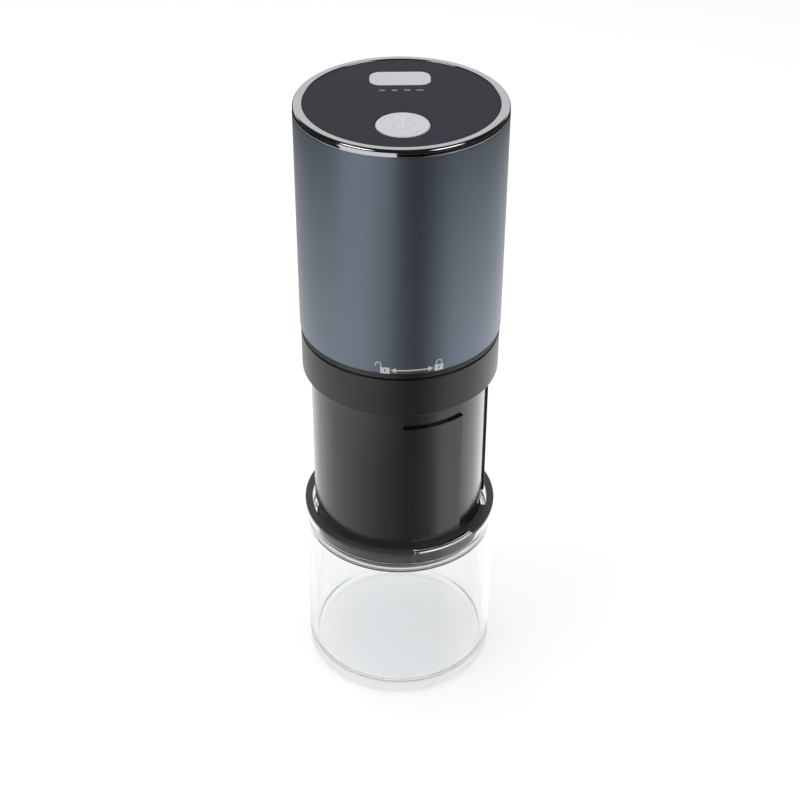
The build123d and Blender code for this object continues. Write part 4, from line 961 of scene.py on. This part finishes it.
head_up = step(screw_tree, "GeometryNodeTransform",
               {"Geometry": head, "Translation": point(screw_tree, z=half_head)})
recess = step(screw_tree, "GeometryNodeMeshCylinder",
              {"Vertices": 6, "Radius": sum_of(screw_tree, "MULTIPLY", given["Head"], 0.5),
               "Depth": given["Head Height"]})
driven = step(screw_tree, "GeometryNodeMeshBoolean", {"Mesh 1": head_up, "Mesh 2": recess},
              operation="DIFFERENCE", solver="EXACT")
shank = step(screw_tree, "GeometryNodeMeshCylinder",
             {"Vertices": 24, "Radius": given["Shank"], "Depth": given["Length"]})
shank_middle = sum_of(screw_tree, "ADD", given["Head Height"], half_shank)
shank_up = step(screw_tree, "GeometryNodeTransform",
                {"Geometry": shank, "Translation": point(screw_tree, z=shank_middle)})
screw = step(screw_tree, "GeometryNodeJoinGeometry")
wire(screw_tree, (driven, screw.inputs[0]), (shank_up, screw.inputs[0]))
turned_over = step(screw_tree, "GeometryNodeTransform",
                   {"Geometry": screw, "Rotation": point(screw_tree, x=given["Turn Over"])})
screws = step(screw_tree, "GeometryNodeInstanceOnPoints",
              {"Points": placed, "Instance": turned_over})
put_out(screw_tree, screws, given)
for node, body, count, circle, first, face, head_size, head_rise, shank_size, length, over in (
    ("burr_screws", "tube", 3, 23.5, 30, 60.2, 2.2, 1.8, 1.2, 19.6, 0),
    ("plate_screws", "housing", 3, 22.0, 30, 136.0, 2.8, 2.0, 1.5, 14.0, 0),
    ("gearbox_screws", "housing", 4, 10.5, 45, 136.0, 1.9, 1.3, 1.0, 3.95, 0),
    ("board_screws", "housing", 3, 24.0, 30, 203.0, 2.0, 1.2, 1.0, 3.0, 180),
):
    group = grown(node.replace("_screws", "_socket_screws"), screw_tree, Count=count,
                  Circle=circle * mm, First_Angle=math.radians(first), Face=face * mm,
                  Head=head_size * mm, Head_Height=head_rise * mm, Shank=shank_size * mm,
                  Length=length * mm, Turn_Over=math.radians(over), Material=zinc)
    settle(group, body, "screw_steel", zinc, node)

# Grinding works: a moulded spider with a bronze bush carries the steel shaft in the tube. Below
# it sit the moulded burr holder and the two ground steel burrs.
moulded = finish("moulded_plastic", (0.035, 0.035, 0.038), 0.45, grain=2000, relief=0.15, tone=0.15)
bronze = finish("bronze", (0.52, 0.33, 0.15), 0.35, grain=900, tone=0.15, wear=0.1,
                stretch=(1, 1, 9), Metallic=1.0)
ground_steel = finish("ground_steel", (0.56, 0.56, 0.58), 0.28, grain=1100, relief=0.05, tone=0.08,
                      wear=0.08, stretch=(1, 1, 6), Metallic=1.0)
dress(moulded, "bearing_spider", "burr_holder")
dress(bronze, "shaft_bush")
dress(ground_steel, "outer_burr", "inner_burr", "grinder_shaft")

# Burr spring: a coil of spring steel wire round the shaft, between its flange and the inner burr.
# In the grinder it shortens towards the flange as the burr is screwed up; here it is one fixed
# coil.
spring_wire = finish("spring_wire", (0.58, 0.58, 0.6), 0.25, grain=900, tone=0.08, Metallic=1.0)
coil_tree, given = new_tree(
    "wire_coil",
    Turns=("Float", 3.5), Radius=("Float", 0.0046), Wire=("Float", 0.0004), Bottom=("Float", 0.07),
    Height=("Float", 0.005), Material=("Material", None),
)
spiral = step(coil_tree, "GeometryNodeCurveSpiral",
              {"Resolution": 48, "Rotations": given["Turns"], "Start Radius": given["Radius"],
               "End Radius": given["Radius"], "Height": given["Height"], "Reverse": True})
raised_spiral = step(coil_tree, "GeometryNodeTransform",
                     {"Geometry": spiral, "Translation": point(coil_tree, z=given["Bottom"])})
wire_section = step(coil_tree, "GeometryNodeCurvePrimitiveCircle",
                    {"Resolution": 16, "Radius": given["Wire"]})
bent_wire = step(coil_tree, "GeometryNodeCurveToMesh",
                 {"Curve": raised_spiral, "Profile Curve": wire_section, "Fill Caps": True})
put_out(coil_tree, bent_wire, given)
spring_low, spring_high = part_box("burr_spring")
half_wire, flange = 0.4 * mm, 81.1 * mm
coil = grown("wire_coil", coil_tree, Turns=3.5, Radius=spring_high.x - half_wire, Wire=half_wire,
             Bottom=spring_low.z + half_wire,
             Height=spring_high.z - spring_low.z - 2 * half_wire, Material=spring_wire)
settle(coil, "shaft", "spring_steel", spring_wire, "burr_spring")
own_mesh(coil)

# Grind dial: a scalloped nut moulded in black plastic, screwed onto the shaft under the inner burr
# and turned by hand. Pale marks on its lower face count the clicks.
dial_black = finish("dial_black", (0.045, 0.045, 0.047), 0.4, grain=1800, relief=0.15, tone=0.15)
dress(dial_black, "grind_dial")
tick_tree, given = new_tree(
    "dial_ticks",
    Count=("Int", 12), Circle=("Float", 0.008), Level=("Float", 0.05), Length=("Float", 0.0015),
    Width=("Float", 0.0003), Thickness=("Float", 0.00006), Material=("Material", None),
)
tick_ring = step(tick_tree, "GeometryNodeMeshCircle",
                 {"Vertices": given["Count"], "Radius": given["Circle"]})
tick_spots = step(tick_tree, "GeometryNodeTransform",
                  {"Geometry": tick_ring, "Translation": point(tick_tree, z=given["Level"])})
tick = step(tick_tree, "GeometryNodeMeshCube",
            {"Size": point(tick_tree, given["Length"], given["Width"], given["Thickness"])})
spot_place = step(tick_tree, "GeometryNodeInputPosition")
place_parts = step(tick_tree, "ShaderNodeSeparateXYZ", {0: spot_place}).outputs
facing = sum_of(tick_tree, "ARCTAN2", place_parts["Y"], place_parts["X"])
ticks = step(tick_tree, "GeometryNodeInstanceOnPoints",
             {"Points": tick_spots, "Instance": tick, "Rotation": point(tick_tree, z=facing)})
put_out(tick_tree, ticks, given)
dial_marks = grown("dial_ticks", tick_tree, Count=12, Circle=8.2 * mm,
                   Level=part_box("grind_dial")[0].z - 0.02 * mm, Length=2.0 * mm, Width=0.35 * mm,
                   Thickness=0.06 * mm, Material=pale_ink)
settle(dial_marks, "dial", "button_white", pale_ink)

# Drive: a moulded coupler below the base plate turns the grinder's shaft, and two planetary stages
# of hobbed steel gears in a steel ring gear slow the motor down.
gear_steel = finish("gear_steel", (0.54, 0.54, 0.55), 0.33, grain=1300, tone=0.1, wear=0.08,
                    Metallic=1.0)
planet_gears = [f"planet_gear_{number}" for number in range(1, 7)]
dress(gear_steel, "carrier_one", "carrier_two", "ring_gear", *planet_gears)
dress(dial_black, "drive_coupler")
dress(bronze, "output_bush", "motor_bushes")
dress(zinc, "gearbox_cover", "motor_can")

# Motor: a brushed direct-current motor in a zinc-plated can, with ferrite magnets, a laminated
# armature, a copper commutator and carbon brushes in a plastic end cap.
ferrite = finish("ferrite", (0.03, 0.03, 0.032), 0.6, grain=1500, relief=0.1, tone=0.3)
lamination = finish("lamination", (0.16, 0.13, 0.10), 0.4, grain=500, tone=0.3, stretch=(1, 1, 14),
                    Metallic=0.8)
carbon = finish("carbon", (0.02, 0.02, 0.02), 0.5, grain=1500, tone=0.3)
copper = finish("copper", (0.72, 0.38, 0.24), 0.25, grain=900, tone=0.1, stretch=(1, 1, 9),
                Metallic=1.0)
dress(ferrite, "motor_magnets")
dress(ground_steel, "motor_rotor")
dress(lamination, "motor_armature")
dress(copper, "motor_commutator")
dress(carbon, "motor_brushes")
dress(moulded, "motor_end_cap")

# Battery and chassis: three cells in printed blue wraps stand round the motor in a moulded
# chassis, between nickel contact strips, under a moulded frame for the board.
cell_wrap = finish("cell_wrap", (0.02, 0.07, 0.30), 0.28, grain=300, tone=0.15)
dress(cell_wrap, "battery_cells")
dress(nickel, "cell_contacts")
dress(moulded, "inner_chassis", "board_frame")

# Circuit board: a lacquered green board, screwed to its frame, with clear lamps under the window
# and a small switch with a plunger under the button.
board_green = finish("board_green", (0.012, 0.11, 0.04), 0.3, grain=700, relief=0.1, tone=0.35)
lamp_clear = finish("lamp_clear", (0.85, 0.85, 0.72), 0.2, grain=900, tone=0.03)
dress(board_green, "circuit_board")
dress(lamp_clear, "status_lamps")
dress(dial_black, "tact_switch", "switch_plunger")
